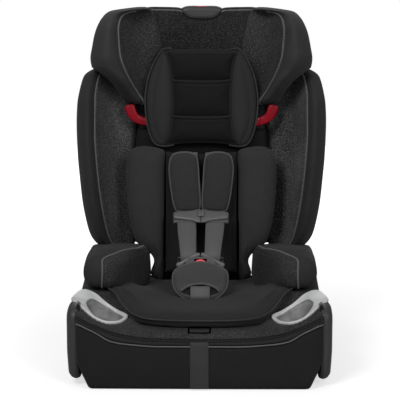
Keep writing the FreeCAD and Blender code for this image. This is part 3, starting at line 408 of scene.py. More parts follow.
def inflate(made, cap, voxel):
    """Stuffs a padded piece by cloth simulation on a mesh of `voxel` millimetres: its skin swells
    and creases, but no point moves further than the cap."""
    pressure, frames = 4.0, 20
    scene = bpy.context.scene
    bpy.context.view_layer.objects.active = made
    remesh_evenly(made, voxel)
    rest = np.array([v.co for v in made.data.vertices], float)
    cloth = made.modifiers.new("stuffing", "CLOTH")
    cloth.settings.use_pressure = True
    cloth.settings.uniform_pressure_force = pressure
    cloth.settings.effector_weights.gravity = 0
    cloth.settings.quality = 4
    cloth.point_cache.frame_start = 1
    cloth.point_cache.frame_end = frames
    for number in range(1, frames + 1):
        scene.frame_set(number)
    puffed = evaluated(made)
    made.modifiers.clear()
    scene.frame_set(1)
    moved = np.array([v.co for v in puffed.vertices], float) - rest
    length = np.linalg.norm(moved, axis=1)
    share = np.minimum(1, cap * MM / np.maximum(length, 1e-9))
    settled = rest + moved * share[:, None]
    made.data.vertices.foreach_set("co", settled.astype(np.float32).ravel())
    made.data.update()
    finer = made.modifiers.new("finer", "SUBSURF")
    finer.levels = 1
    finer.render_levels = 1


# ---------------------------------------------------------------- materials

class Finish:
    """One material: a base colour, a roughness and the procedural detail added to them."""

    def __init__(self, name, colour, rough, **sockets):
        self.material = bpy.data.materials.new(name)
        self.material.use_nodes = True
        self.tree = self.material.node_tree
        self.shader = self.tree.nodes["Principled BSDF"]
        self.shader.inputs["Base Color"].default_value = (*colour, 1)
        self.shader.inputs["Roughness"].default_value = rough
        for socket, value in sockets.items():
            self.shader.inputs[socket.replace("_", " ")].default_value = value
        self.spot = self.tree.nodes.new("ShaderNodeTexCoord").outputs["Object"]
        self.height = None

    def node(self, kind, into=None, **settings):
        """A new node with its settings, and its first inputs linked or set from `into`."""
        made = self.tree.nodes.new("ShaderNode" + kind)
        for key, value in settings.items():
            setattr(made, key, value)
        for key, value in (into or {}).items():
            if isinstance(value, bpy.types.NodeSocket):
                self.tree.links.new(value, made.inputs[key])
            else:
                made.inputs[key].default_value = value
        return made

    def noise(self, scale, detail=2.0, stretch=None):
        """A noise value from 0 to 1, `scale` cells to a metre."""
        spot = self.spot
        if stretch is not None:
            spot = self.node("Mapping", {"Vector": spot, "Scale": stretch}).outputs[0]
        into = {"Vector": spot, "Scale": scale, "Detail": detail}
        return self.node("TexNoise", into).outputs["Fac"]

    def math(self, operation, a, b=0.0):
        """One arithmetic step on a value, or on two."""
        return self.node("Math", {0: a, 1: b}, operation=operation).outputs[0]

    def spread(self, value, low, high, new_low=0.0, new_high=1.0):
        """The value with low..high stretched to new_low..new_high."""
        into = {0: value, 1: low, 2: high, 3: new_low, 4: new_high}
        return self.node("MapRange", into).outputs[0]

    def colour(self, share, dark, light):
        """The base colour goes from dark to light with the share."""
        ramp = self.node("ValToRGB", {0: share})
        ramp.color_ramp.elements[0].color = (*dark, 1)
        ramp.color_ramp.elements[1].color = (*light, 1)
        self.tree.links.new(ramp.outputs[0], self.shader.inputs["Base Color"])

    def rough(self, share, low, high):
        """The roughness goes from low to high with the share."""
        made = self.spread(share, 0.0, 1.0, low, high)
        self.tree.links.new(made, self.shader.inputs["Roughness"])

    def bump(self, height, depth, strength=1.0):
        """Relief `depth` millimetres deep, on top of the relief there is."""
        into = {"Height": height, "Distance": depth * MM, "Strength": strength}
        if self.height is not None:
            into["Normal"] = self.height
        self.height = self.node("Bump", into).outputs[0]
        self.tree.links.new(self.height, self.shader.inputs["Normal"])

    def wave(self, axis, pitch):
        """Threads along one axis of the row frame, one each `pitch` millimetres."""
        part = self.node("SeparateXYZ", {0: self.spot}).outputs[axis]
        turn = self.math("MULTIPLY", part, 2 * math.pi / (pitch * MM))
        return self.spread(self.math("SINE", turn), -1.0, 1.0)


def grey(value, tint=0.0):
    """A grey, a little blue where tint is above 0."""
    return (value, value, value * (1 + tint))


def fabric(name, shade, fleck, grain, fuzz, relief, tint=0.03):
    """A woven cloth: a shade, lighter flecks of yarn `grain` to a metre, fuzz and thread relief."""
    made = Finish(name, grey(shade, tint), 0.88, Sheen_Weight=fuzz, Sheen_Roughness=0.45)
    made.shader.inputs["Specular IOR Level"].default_value = 0.25
    yarn = made.noise(grain, 1.5)
    broad = made.noise(11.0, 3.0)
    mixed = made.math("ADD", made.math("MULTIPLY", made.spread(yarn, 0.44, 0.74), 0.8),
                      made.math("MULTIPLY", made.spread(broad, 0.35, 0.7), 0.2))
    made.colour(mixed, grey(shade * 0.8, tint), grey(fleck, tint))
    threads = made.math("MULTIPLY", made.wave(0, 1.1), made.wave(2, 1.1))
    made.bump(threads, relief * 0.6, 0.6)
    made.bump(yarn, relief, 0.7)
    made.bump(made.noise(55.0, 2.0), relief * 1.4, 0.35)
    return made.material


def webbing(name, shade):
    """Ribbed strap webbing, with its ribs across and a woven edge."""
    made = Finish(name, grey(shade), 0.62, Sheen_Weight=0.15)
    part = made.node("SeparateXYZ", {0: made.node("UVMap", uv_map="along").outputs[0]})
    rib = made.spread(made.math("SINE", made.math("MULTIPLY", part.outputs[1], 3.6)), -1.0, 1.0)
    cord = made.spread(made.math("SINE", made.math("MULTIPLY", part.outputs[0], 1.5)), -1.0, 1.0)
    cloth = made.math("ADD", made.math("MULTIPLY", rib, 0.45), made.math("MULTIPLY", cord, 0.3))
    mixed = made.math("ADD", cloth, made.math("MULTIPLY", made.noise(420.0), 0.35))
    made.colour(mixed, grey(shade * 0.72), grey(shade * 1.3))
    made.bump(rib, 0.25, 0.7)
    made.bump(cord, 0.12, 0.5)
    return made.material


def plastic(name, colour, rough, coat=0.0, relief=0.06, grain=900.0):
    """Moulded plastic: a fine moulded grain, and a roughness worn uneven by hands."""
    made = Finish(name, colour, rough, Coat_Weight=coat, Coat_Roughness=0.08)
    worn = made.noise(24.0, 4.0)
    dark, light = (tuple(c * share for c in colour) for share in (0.86, 1.1))
    made.colour(made.spread(worn, 0.3, 0.75), dark, light)
    made.rough(made.spread(worn, 0.3, 0.75), rough * 0.85, min(rough * 1.2, 1.0))
    made.bump(made.noise(grain, 2.0), relief, 0.5)
    return made.material


def metal(name, shade, rough):
    """Drawn steel, with fine streaks across the seat."""
    made = Finish(name, grey(shade), rough, Metallic=1.0)
    streak = made.noise(160.0, 3.0, stretch=(0.08, 1.0, 1.0))
    made.colour(made.spread(streak, 0.3, 0.7), grey(shade * 0.8), grey(shade * 1.1))
    made.rough(streak, rough * 0.7, rough * 1.3)
    made.bump(streak, 0.03, 0.4)
    return made.material


def rubber(name, shade):
    """Soft rubber with a dusty bloom."""
    made = Finish(name, grey(shade), 0.75)
    bloom = made.noise(60.0, 4.0)
    made.colour(made.spread(bloom, 0.35, 0.7), grey(shade * 0.8), grey(shade * 1.25))
    made.bump(made.noise(700.0, 2.0), 0.12, 0.5)
    return made.material


# each cloth: its shade and its flecks', the flecks to a metre, the fuzz and the depth of its threads
CHARCOAL = fabric("charcoal_cloth", 0.023, 0.039, 900.0, 0.05, 0.14)
# a lighter copy of the charcoal cloth for the head wings' band: painted light where the key light from
# above-front falls
HEAD_BAND_LIT = fabric("head_band_painted_light", 0.034, 0.056, 900.0, 0.05, 0.14)
# a darker copy of the charcoal cloth for the front skirt: painted shade, as the light from above reaches it
# less
SKIRT_CLOTH_SHADED = fabric("skirt_cloth_painted_shade", 0.011, 0.019, 900.0, 0.04, 0.14)
SPECKLE = fabric("speckled_mesh", 0.008, 0.095, 560.0, 0.04, 0.5)
TORSO_SPECKLE = fabric("wing_mesh", 0.016, 0.215, 560.0, 0.04, 0.5)
BASE_SPECKLE = fabric("base_mesh", 0.012, 0.075, 560.0, 0.04, 0.5)
PANEL_SPECKLE = fabric("panel_mesh", 0.003, 0.050, 520.0, 0.04, 0.5)
# a near-black copy of the mesh for the back cushion: painted shade of the dark hollow round the pillow and
# behind the belt hooks
BACK_MESH_SHADED = fabric("lining_painted_shade", 0.005, 0.012, 620.0, 0.03, 0.3)
# far darker than the satin jersey it copies: partly a darker cloth, partly painted shade for the rolls' slope
ROLL_CLOTH_AND_SHADE = fabric("roll_jersey_and_shade", 0.004, 0.007, 1100.0, 0.05, 0.10, tint=0.06)
SATIN = fabric("satin_jersey", 0.023, 0.033, 1100.0, 0.16, 0.10, tint=0.06)
BODY_SATIN = fabric("body_jersey", 0.030, 0.042, 1100.0, 0.12, 0.10, tint=0.05)
# a darker copy of the satin jersey for the seat cushion: painted shade, as the cushion faces up into the top
# light
SEAT_SATIN_SHADED = fabric("seat_jersey_painted_shade", 0.018, 0.025, 1100.0, 0.10, 0.10, tint=0.04)
RIBBED = fabric("ribbed_lining", 0.010, 0.020, 1000.0, 0.05, 0.2)
PIPING = fabric("piping_trim", 0.10, 0.17, 900.0, 0.2, 0.15)
SHADE_PIPING = fabric("dark_binding", 0.030, 0.060, 900.0, 0.1, 0.15)
# dark thread, also laid as painted shade in the pillow's seam gaps and behind its rolls
THREAD_AND_SEAM_SHADE = fabric("thread_and_seam_shade", 0.010, 0.018, 900.0, 0.05, 0.1)
PAD_GREY_LIGHT = fabric("crotch_pad_cloth", 0.055, 0.075, 950.0, 0.12, 0.10)
PAD_GREY = fabric("shoulder_pad_cloth", 0.029, 0.040, 950.0, 0.14, 0.10, tint=0.05)
BINDING = fabric("edge_binding", 0.080, 0.120, 900.0, 0.15, 0.12)
WEBBING = webbing("strap_webbing", 0.078)
TAIL_WEBBING = webbing("tail_webbing", 0.020)
CLIP_GREY = plastic("clip_plastic", grey(0.100, 0.02), 0.42)
BUCKLE_GREY = plastic("buckle_plastic", grey(0.060, 0.02), 0.40)
SHELL_BLACK = plastic("shell_plastic", grey(0.018), 0.48, relief=0.15, grain=650.0)
RIM_BLACK = plastic("rim_gloss", grey(0.010, 0.05), 0.30, coat=0.25, relief=0.01)
RIM_SATIN = plastic("rim_satin", grey(0.034), 0.55, relief=0.1)
HANDLE_BLACK = plastic("handle_plastic", grey(0.026), 0.45)
HANDLE_EDGE = plastic("handle_rim", grey(0.070), 0.4)
SLIDER_GREY = plastic("slider_plastic", grey(0.06), 0.38)
TRAY_GREY = plastic("tray_plastic", (0.60, 0.605, 0.61), 0.38, coat=0.1)
RED = plastic("red_plastic", (0.26, 0.003, 0.012), 0.45, coat=0.05)
BUTTON_RED = plastic("button_red", (0.90, 0.07, 0.09), 0.35, coat=0.2)
STEEL = metal("zinc_steel", 0.55, 0.32)
FOOT_RUBBER = rubber("foot_rubber", 0.02)
LINER_RUBBER = rubber("liner_rubber", 0.20)
# the red hooks are duller than the other plastics
RED.node_tree.nodes["Principled BSDF"].inputs["Specular IOR Level"].default_value = 0.15


# ---------------------------------------------------------------- the nodes that CAD keeps

def dress(node, material, bevel):
    """A CAD node's own shape, with edges softened by `bevel` millimetres and a real finish."""
    made = frame["nodes"][node]
    made.data.materials.clear()
    made.data.materials.append(material)
    weld = made.modifiers.new("weld", "WELD")
    weld.merge_threshold = 0.01 * MM
    edge = made.modifiers.new("edges", "BEVEL")
    edge.width = bevel * MM
    edge.segments = 2
    edge.limit_method = "ANGLE"
    edge.angle_limit = math.radians(40)


# each node's finish, its slot and the width of its softened edges in millimetres
HARD_NODES = {
    "base_shell": (SHELL_BLACK, "shell_plastic", 1.0),
    "back_shell": (SHELL_BLACK, "shell_plastic", 1.2),
    "headrest_shell": (SHELL_BLACK, "shell_plastic", 1.0),
    "armrest_frame_left": (SHELL_BLACK, "shell_plastic", 1.0),
    "armrest_frame_right": (SHELL_BLACK, "shell_plastic", 1.0),
    "rubber_feet": (FOOT_RUBBER, "foot_rubber", 0.6),
    "recline_axle": (STEEL, "steel", 0.5),
    "panel_screws": (STEEL, "steel", 0.3),
    "crotch_anchor_plate": (STEEL, "steel", 0.4),
    "hip_anchor_bar": (STEEL, "steel", 0.4),
    "adjuster_pin": (STEEL, "steel", 0.3),
    "adjuster_housing": (RIM_BLACK, "buckle_plastic", 0.5),
    "adjuster_lever": (FOOT_RUBBER, "buckle_plastic", 0.5),
    "guide_rods": (STEEL, "steel", 0.4),
    "rod_clamps": (SLIDER_GREY, "slider_plastic", 0.5),
    "headrest_rack": (SLIDER_GREY, "slider_plastic", 0.4),
    "headrest_sliders": (SLIDER_GREY, "slider_plastic", 0.5),
    "splitter_plate": (STEEL, "steel", 0.4),
    "buckle_latch_plate": (STEEL, "steel", 0.3),
    "buckle_front_cover": (BUCKLE_GREY, "buckle_plastic", 1.4),
    "buckle_rear_cover": (BUCKLE_GREY, "buckle_plastic", 1.4),
}
for node, (material, slot, bevel) in HARD_NODES.items():
    dress(node, material, bevel)


def soft_piece(made, body, slot, *replaced, fill=0.6):
    """A trim piece for a padded part, hung and hidden as trim_piece does it. Its fill, from 0, slack, to 1,
    full and tight, is not used.
    """
    trim_piece(made, body, slot, *replaced)


def trim_piece(made, body, slot, *replaced):
    """Gives a piece its body and hides the CAD solids that it stands for. Its slot is not used."""
    if replaced:
        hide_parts(*replaced)
    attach(made, body)


def cord(name, path, radius, finish, body, slot, closed=False, step=4.0):
    """A round cord of trim along a path, on a body."""
    made = sweep(name, even(path, step, closed), circle(radius), finish, closed=closed)
    trim_piece(made, body, slot)


def on_both_sides(*makers):
    """Makes each of the paired pieces on the left, and then on the right."""
    for label, side in SIDES.items():
        for make in makers:
            make(label, side)


# ---------------------------------------------------------------- side wings

KEYS = 9  # the corners of a wing's section
PER_KEY = 8  # the points of its curve from one corner to the next
SEAM = 2 * PER_KEY  # the point of a section on the seam between its two cloths
MESH_AGAIN = 8 * PER_KEY + 4  # the point from which the first cloth goes on, behind the root
WING_SECTIONS = 72
CLOSING = 0.05  # the share of a wing's height in which each end closes
CLOSED = 0.25  # how much of its section is left at the very end
SEAM_PULL = ((-1, 0.7), (0, 2.2), (1, 0.7))  # how far sewing draws in the points round the seam


def wing_section(root, seam, edge, nook, lip, crest, deep):
    """One section of a wing, from its root over the crest to its back."""
    return curve([
        (root, nook),
        (root + 0.60 * (seam - root), nook + 0.33 * (lip - nook)),
        (seam, lip),
        (seam + 0.42 * (edge - seam), crest),
        (edge - 0.10 * (edge - seam), crest + 0.22 * (deep - crest)),
        (edge, crest + 0.52 * (deep - crest)),
        (edge - 0.16 * (edge - seam), deep + 0.08 * (crest - deep)),
        (root + 0.55 * (edge - root), deep),
        (root, deep - 0.5),
    ], closed=True, per=PER_KEY)


def wing_skin(low, high, side, shape):
    """A wing's sections from its foot up, the line of its seam, and the share of each section."""
    inner, outer = outward(low, high)
    deep, front = high[1], low[1]
    profiles = {key: through(pairs) for key, pairs in shape.items()}
    rings, seam_line = [], []
    shares = 0.5 - 0.5 * np.cos(np.linspace(0, math.pi, WING_SECTIONS))
    for share in shares:
        here = {key: profile(share) for key, profile in profiles.items()}
        across = [inner + (outer - inner) * here[key] for key in ("root", "seam", "edge")]
        forward = [deep + (front - deep) * here[key] for key in ("nook", "lip", "crest")]
        ring = wing_section(*across, *forward, deep)
        near = min(share, 1 - share) / CLOSING
        close = 1 if near > 1 else CLOSED + (1 - CLOSED) * math.sqrt(1 - (1 - near) ** 2)
        middle = ring.mean(0)
        ring = middle + (ring - middle) * close
        seam_point = ring[SEAM].copy()
        inwards = (middle - seam_point) / np.linalg.norm(middle - seam_point)
        for shift, depth in SEAM_PULL:
            ring[SEAM + shift] += inwards * depth
        up = low[2] + (high[2] - low[2]) * share
        rings.append(BACK.out([(side * x, y, up) for x, y in ring]))
        seam_line.append((side * seam_point[0], seam_point[1], up))
    return np.array(rings), BACK.out(np.array(seam_line)), shares


def wing(name, node, side, shape, body, lower, taller, cloths, piping_end):
    """A side bolster: an inner face of mesh, piping, and a smooth band round its crest to the
    back. The shape's profiles give shares of the node's box at each share of its height."""
    low, high = BACK.extent(node)
    low[2] -= lower
    high[2] += taller
    rings, seam_line, shares = wing_skin(low, high, side, shape)
    finish_of = [0 if k < SEAM or k >= MESH_AGAIN else 1 for k in range(KEYS * PER_KEY)]
    made = loft(name, rings, cloths, finish_of)
    soft_piece(made, body, "charcoal_fabric", node, fill=0.8)
    last = int(np.searchsorted(shares, piping_end)) - 2
    cord(name + "_piping", seam_line[2:last], 1.7, PIPING, body, "charcoal_fabric")
    for label, step in (("inner", -2), ("outer", 2)):
        line = rings[3:last, SEAM + step]
        toward = rings[3:last].mean(1) - line
        toward /= np.linalg.norm(toward, axis=1)[:, None]
        sewn = stitches(f"{name}_{label}_stitches", line - toward * 0.15, THREAD_AND_SEAM_SHADE)
        trim_piece(sewn, body, "charcoal_fabric")


TORSO_WING = {
    "root": [(0, 0.02), (1, 0.0)],
    "nook": [(0, 0.20), (0.25, 0.14), (1, 0.12)],
    "seam": [(0, 0.26), (0.09, 0.43), (0.19, 0.51), (0.34, 0.59), (0.48, 0.64), (0.67, 0.68),
             (0.84, 0.68), (0.92, 0.65), (1, 0.56)],
    "edge": [(0, 0.42), (0.035, 0.60), (0.075, 0.74), (0.12, 0.82), (0.19, 0.88), (0.29, 0.94), (0.43, 0.99),
             (0.53, 1.02), (0.72, 1.045), (0.80, 1.035), (0.87, 1.0), (0.94, 0.94), (1, 0.82)],
    "crest": [(0, 0.40), (0.12, 0.72), (0.3, 0.92), (0.55, 1.0), (0.8, 0.93), (0.93, 0.72), (1, 0.5)],
    "lip": [(0, 0.34), (0.12, 0.62), (0.3, 0.80), (0.55, 0.88), (0.8, 0.80), (0.93, 0.6), (1, 0.4)],
}
HEAD_WING = {
    "root": [(0, -0.02), (0.35, -0.20), (0.56, -0.31), (0.74, -0.25), (0.92, -0.17), (1, -0.12)],
    "nook": [(0, 0.12), (0.3, 0.17), (0.6, 0.21), (1, 0.22)],
    "seam": [(0, 0.02), (0.04, 0.04), (0.11, 0.13), (0.21, 0.24), (0.35, 0.37), (0.50, 0.46), (0.66, 0.49),
             (0.75, 0.50), (0.86, 0.47), (0.91, 0.41), (0.94, 0.29), (0.96, 0.06), (0.97, -0.08), (1, -0.11)],
    "edge": [(0, 0.28), (0.04, 0.42), (0.10, 0.50), (0.17, 0.59), (0.25, 0.72), (0.33, 0.91), (0.38, 1.04),
             (0.47, 1.065), (0.59, 1.03), (0.71, 0.985), (0.83, 0.90), (0.89, 0.83), (0.95, 0.71), (1, 0.32)],
    "crest": [(0, 0.34), (0.12, 0.56), (0.3, 0.86), (0.5, 1.0), (0.75, 0.98), (0.92, 0.78), (1, 0.45)],
    "lip": [(0, 0.30), (0.12, 0.44), (0.3, 0.68), (0.5, 0.82), (0.75, 0.82), (0.92, 0.62), (1, 0.38)],
}


def torso_wing(label, side):
    """The bolster beside the body."""
    wing(f"torso_wing_cover_{label}", f"torso_wing_{label}", side, TORSO_WING, "backrest",
         lower=16.0, taller=8.0, cloths=[TORSO_SPECKLE, CHARCOAL], piping_end=1.0)


def head_wing(label, side):
    """The bolster beside the head, whose piping ends below its top."""
    # the head wing's band is the lighter copy of the charcoal cloth: painted light
    wing(f"head_wing_cover_{label}", f"head_wing_{label}", side, HEAD_WING, "headrest",
         lower=0.0, taller=1.5, cloths=[SPECKLE, HEAD_BAND_LIT], piping_end=0.975)


on_both_sides(torso_wing, head_wing)


# ---------------------------------------------------------------- headrest pads

def flat_place(lean, depth, bulge=None):
    """Places a panel's flat points (across, up) at a depth in a frame, raised towards the front."""

    def place(points, rise):
        surface = depth if bulge is None else depth - bulge(points)
        return lean.out(np.stack([points[:, 0], surface - rise, points[:, 1]], 1))

    return place


def line_at(lean, points, depth):
    """A flat line of (across, up) as row-frame points at one depth or a depth for each point."""
    points = np.asarray(points, float)
    return lean.out(np.stack([points[:, 0], np.broadcast_to(depth, len(points)), points[:, 1]], 1))


def both_sides(half):
    """A closed outline from the right half of a panel, listed from its top centre down."""
    return list(half) + [(-x, z) for x, z in reversed(half) if x > 1e-6]


def head_panel():
    """The mesh panel behind the pillow, cut away round the pull handle."""
    low, high = BACK.extent("headrest_centre_pad")
    _, grip_high = BACK.extent("headrest_handle")
    notch, rim = grip_high[0], high[2] + 6
    floor_of_notch = grip_high[2] - 22
    half = [(0, floor_of_notch), (notch * 0.55, floor_of_notch + 0.5), (notch * 0.85, floor_of_notch + 5),
            (notch * 1.05, rim - 9), (notch * 1.25, rim - 2), (80, rim - 0.5), (98, rim - 1),
            (107, rim - 5), (104, rim - 20), (86, rim - 50), (76, rim - 80), (74, low[2] + 20),
            (70, low[2] + 2), (50, low[2])]
    outline = curve(both_sides(half), closed=True)
    thick = (high[1] - low[1]) / 2
    crown = lambda p, d: thick * rounded(d, 9.0) + 1.2 * rounded(d, 60.0)
    place = flat_place(BACK, (low[1] + high[1]) / 2)
    made = quilt("head_panel", outline, crown, puff(thick, 6.0), place, PANEL_SPECKLE)
    soft_piece(made, "headrest", "mesh_fabric", "headrest_centre_pad", fill=0.5)
    creases = ((89, 6), (87.5, 16), (79.5, 46), (73.5, 76))
    hems = ((notch + 3, 11), (notch + 10, 8), (70, 7), (90, 6.5), (103, 6))
    for trim, drops, lift, radius, finish in (
        ("seam", creases, 2.0, 1.3, THREAD_AND_SEAM_SHADE),
        ("piping", hems, 0.8, 1.5, PIPING),
    ):
        for label, side in SIDES.items():
            line = curve([(side * x, rim - below) for x, below in drops])
            cord(f"head_panel_{trim}_{label}", line_at(BACK, line, low[1] + lift), radius, finish,
                 "headrest", "mesh_fabric")


PILLOW_LOW, PILLOW_HIGH = BACK.extent("head_pillow")
PILLOW_HALF = PILLOW_HIGH[0]
PILLOW_TALL = PILLOW_HIGH[2] - PILLOW_LOW[2]
PILLOW_DEPTH = (PILLOW_LOW[1] + PILLOW_HIGH[1]) / 2
ROLL_SEAMS = (0.985, 0.667, 0.294, 0.015)


def on_pillow(shares):
    """Flat points from shares of the pillow's half width and of its height."""
    return in_box(0, PILLOW_HALF, PILLOW_LOW[2], PILLOW_TALL, shares)


def pillow_wrap(p):
    """How far the pillow's seam stands forward: level in its middle and further back beside it."""
    return -7.0 * (np.abs(p[:, 0]) / PILLOW_HALF) ** 2


LENS_IN = on_pillow([(0.68, 0.975), (0.60, 0.84), (0.56, 0.65), (0.55, 0.46), (0.565, 0.27),
                     (0.62, 0.10), (0.70, 0.0)])
LENS_OUT = on_pillow([(0.68, 0.975), (0.81, 0.84), (0.90, 0.64), (0.94, 0.44), (0.91, 0.22),
                      (0.82, 0.08), (0.70, 0.0)])
ROLL_REACH = through([(z, x) for x, z in curve(LENS_IN, per=4)][::-1])


def pillow_border():
    """The pillow's border under its lobes and rolls, piped round both sides."""
    border = on_pillow([(0, 0.995), (0.45, 0.995), (0.70, 1.0), (0.85, 0.90), (0.98, 0.74),
                        (1.05, 0.56), (1.06, 0.40), (1.01, 0.19), (0.90, 0.03), (0.72, -0.015),
                        (0.4, 0.01), (0, 0.02)])
    # the border's middle, behind the rolls, takes the dark thread colour: painted shade in the gaps between
    # the rolls
    body = quilt("head_pillow_border", curve(both_sides(border), closed=True), puff(11.0, 17.0),
                 puff(13.0, 12.0), flat_place(BACK, PILLOW_DEPTH, pillow_wrap), [CHARCOAL, THREAD_AND_SEAM_SHADE], 4.5,
                 finish_at=lambda p: np.abs(p[:, 0]) < 0.70 * PILLOW_HALF)
    soft_piece(body, "headrest", "insert_fabric", "head_pillow", fill=0.7)
    piped = curve(border, per=6)[8:-8]
    for name, side in (("head_pillow_piping", 1), ("head_pillow_piping_left", -1)):
        line = line_at(BACK, mirrored(piped, side), PILLOW_DEPTH - 3.0)
        cord(name, line, 1.4, SHADE_PIPING, "headrest", "insert_fabric")


def pillow_lobe(label, side):
    """A lens-shaped lobe of the pillow, sewn along both its edges."""
    lens = curve(LENS_IN, per=6).tolist() + curve(LENS_OUT, per=6)[::-1][1:-1].tolist()
    lobe = quilt(f"head_pillow_lobe_{label}", np.array(mirrored(lens, side)), puff(15.0, 17.0),
                 puff(4.0, 8.0), flat_place(BACK, PILLOW_DEPTH - 4.0, pillow_wrap), SATIN, 3.5)
    inflate(lobe, cap=2.0, voxel=3.0)
    soft_piece(lobe, "headrest", "insert_fabric", fill=0.8)
    for edge_name, edge in (("inner", LENS_IN), ("outer", LENS_OUT)):
        line = np.array(mirrored(curve(edge, per=6), side))
        path = line_at(BACK, line, PILLOW_DEPTH - 4.5 - pillow_wrap(line))
        cord(f"head_pillow_{edge_name}_seam_{label}", path, 1.2, THREAD_AND_SEAM_SHADE, "headrest", "insert_fabric")


def pillow_roll(number):
    """One of the pillow's sewn rolls between the lobes, from the top."""
    top, bottom = ROLL_SEAMS[number : number + 2]
    heights = [PILLOW_LOW[2] + PILLOW_TALL * (bottom + (top - bottom) * s)
               for s in (0.97, 0.8, 0.5, 0.2, 0.03)]
    right = [(float(ROLL_REACH(z)) - 1.0, z) for z in heights]
    sag = 2.5 if number < 2 else -2.0
    above = 3.2 if number else 0.0
    rail = [(0.5 * right[-1][0], heights[-1] - sag), (0, heights[-1] - 1.3 * sag)]
    crown = [(0, heights[0] - above), (0.6 * right[0][0], heights[0] - 0.8 * above)]
    outline = curve(both_sides(crown + right + rail), closed=True)
    # the rolls' dark jersey is partly painted shade
    roll = quilt(f"head_pillow_roll_{number}", outline, lambda p, d: 18.0 * rounded(d, 26.0) ** 1.2,
                 puff(4.0, 8.0), flat_place(BACK, PILLOW_DEPTH - 4.0), ROLL_CLOTH_AND_SHADE, 4.0)
    inflate(roll, cap=2.5, voxel=3.5)
    soft_piece(roll, "headrest", "insert_fabric", fill=0.8)


def pillow_seam_shadow(number):
    """A dark cord in the seam between two of the rolls: painted shade of the deep gap there."""
    up = PILLOW_LOW[2] + PILLOW_TALL * ROLL_SEAMS[number + 1]
    reach = float(ROLL_REACH(up)) - 1.5
    drops = ((-1, -0.5), (-0.5, 1.5), (0, 2.2), (0.5, 1.5), (1, -0.5))
    fold = curve([(share * reach, up - drop) for share, drop in drops])
    cord(f"head_pillow_seam_shadow_{number}", line_at(BACK, fold, PILLOW_DEPTH - 11.5), 2.4, THREAD_AND_SEAM_SHADE,
         "headrest", "insert_fabric")


def handle():
    """The pull handle in its notch, with a red line along its top and a stem to the rack."""
    low, high = BACK.extent("headrest_handle")
    middle = (low[1] + high[1]) / 2 + 8
    grip_foot = high[2] - 26
    half = [(0, high[2] + 0.5), (high[0] * 0.7, high[2] + 0.5), (high[0], high[2] - 1.5),
            (high[0] * 1.20, high[2] - 6), (high[0] * 1.15, grip_foot + 13),
            (high[0] * 0.92, grip_foot + 5), (high[0] * 0.62, grip_foot + 0.5), (0, grip_foot - 0.5)]
    outline = curve(both_sides(half), closed=True, per=6)
    front = lambda p, d: (middle - low[1] - 16) * rounded(d, 7.0) + 6 * rounded(d, 3.0)
    made = quilt("pull_handle", outline, front, puff(12, 5.0), flat_place(BACK, low[1] + 12.0),
                 HANDLE_BLACK, 3.0)
    trim_piece(made, "handle", "handle_plastic", "headrest_handle")
    low_edge = curve(half[4:], per=6)
    keel = np.vstack([mirrored(low_edge, -1), low_edge[::-1]])
    cord("pull_handle_rim", line_at(BACK, keel, low[1] + 6.5), 1.7, HANDLE_EDGE, "handle",
         "handle_plastic", step=3.0)
    line = [(x, high[2] - 2.0) for x in np.linspace(-0.30, 0.30, 9) * high[0]]
    cord("handle_red_line", line_at(BACK, line, low[1] + 1.6), 1.7, BUTTON_RED, "handle", "red_plastic",
         step=3.0)
    path = line_at(BACK, [(0, z) for z in np.linspace(high[2] - 10, low[2], 24)], high[1] - 2.0)
    stem = sweep("handle_stem", path, ribbon(high[0] * 0.48, 4.0), HANDLE_BLACK, side=(1, 0, 0))
    trim_piece(stem, "handle", "handle_plastic")


def belt_guide(label, side):
    """A red hook beside the pillow, which holds the vehicle's shoulder belt."""
    low, high = BACK.extent(f"belt_guide_{label}")
    inner, outer = outward(low, high)
    wide, tall = outer - inner, high[2] - low[2]
    at = lambda across, up, depth: (side * (inner + across * wide), low[1] + depth, low[2] + up * tall)
    spine = curve([at(-0.05, 0.10, 12), at(0.22, 0.16, 10), at(0.50, 0.30, 8), at(0.68, 0.55, 6.5),
                   at(0.78, 0.85, 6.5), at(0.82, 1.02, 7)], per=6)
    fat = through([(0, 7.5), (0.35, 8.0), (0.75, 9.6), (0.93, 10.0), (1.0, 7.0)])
    spine = even(spine, 2.0)
    rings = []
    for number, (spot, way) in enumerate(zip(spine, np.gradient(spine, axis=0))):
        way /= np.linalg.norm(way)
        lift = np.cross(way, (0, 1, 0))
        flat, deep = soft_bar(fat(number / (len(spine) - 1)), 4.6, 0.6)
        rings.append(spot + flat[:, None] * lift + deep[:, None] * np.array((0, 1.0, 0)))
    made = loft(f"belt_hook_{label}", [BACK.out(r) for r in rings], RED)
    trim_piece(made, "headrest", "red_plastic", f"belt_guide_{label}")


head_panel()
pillow_border()
on_both_sides(pillow_lobe)
for number in range(3):
    pillow_roll(number)
for number in range(2):
    pillow_seam_shadow(number)
handle()
on_both_sides(belt_guide)


# ---------------------------------------------------------------- backrest pads

def back_cushion():
    """The backrest's own cushion, with sewn rows across it, seen round the insert's edges."""
    low, high = BACK.extent("back_pad")
    half, middle = high[0], (low[1] + high[1]) / 2
    right = [(0, high[2]), (half * 0.85, high[2]), (half, high[2] - 14), (half, low[2] + 120),
             (half * 0.86, low[2] + 60), (half * 0.62, low[2] + 20), (half * 0.5, low[2]), (0, low[2])]
    outline = curve(both_sides(right), closed=True)
    rows = [groove([(-half, z), (half, z)], 5.0, 3.0) for z in np.linspace(low[2], high[2], 6)[1:-1]]
    thick = (high[1] - low[1]) / 2
    front = lambda p, d: thick * rounded(d, 14.0) - sum(row(p) for row in rows) * rounded(d, 14.0)
    # the cushion's near-black mesh is painted shade for the hollow seen round the insert and the pillow
    made = quilt("back_cushion", outline, front, puff(thick, 10.0),
                 flat_place(BACK, middle), BACK_MESH_SHADED, 5.0)
    soft_piece(made, "backrest", "mesh_fabric", "back_pad", fill=0.5)


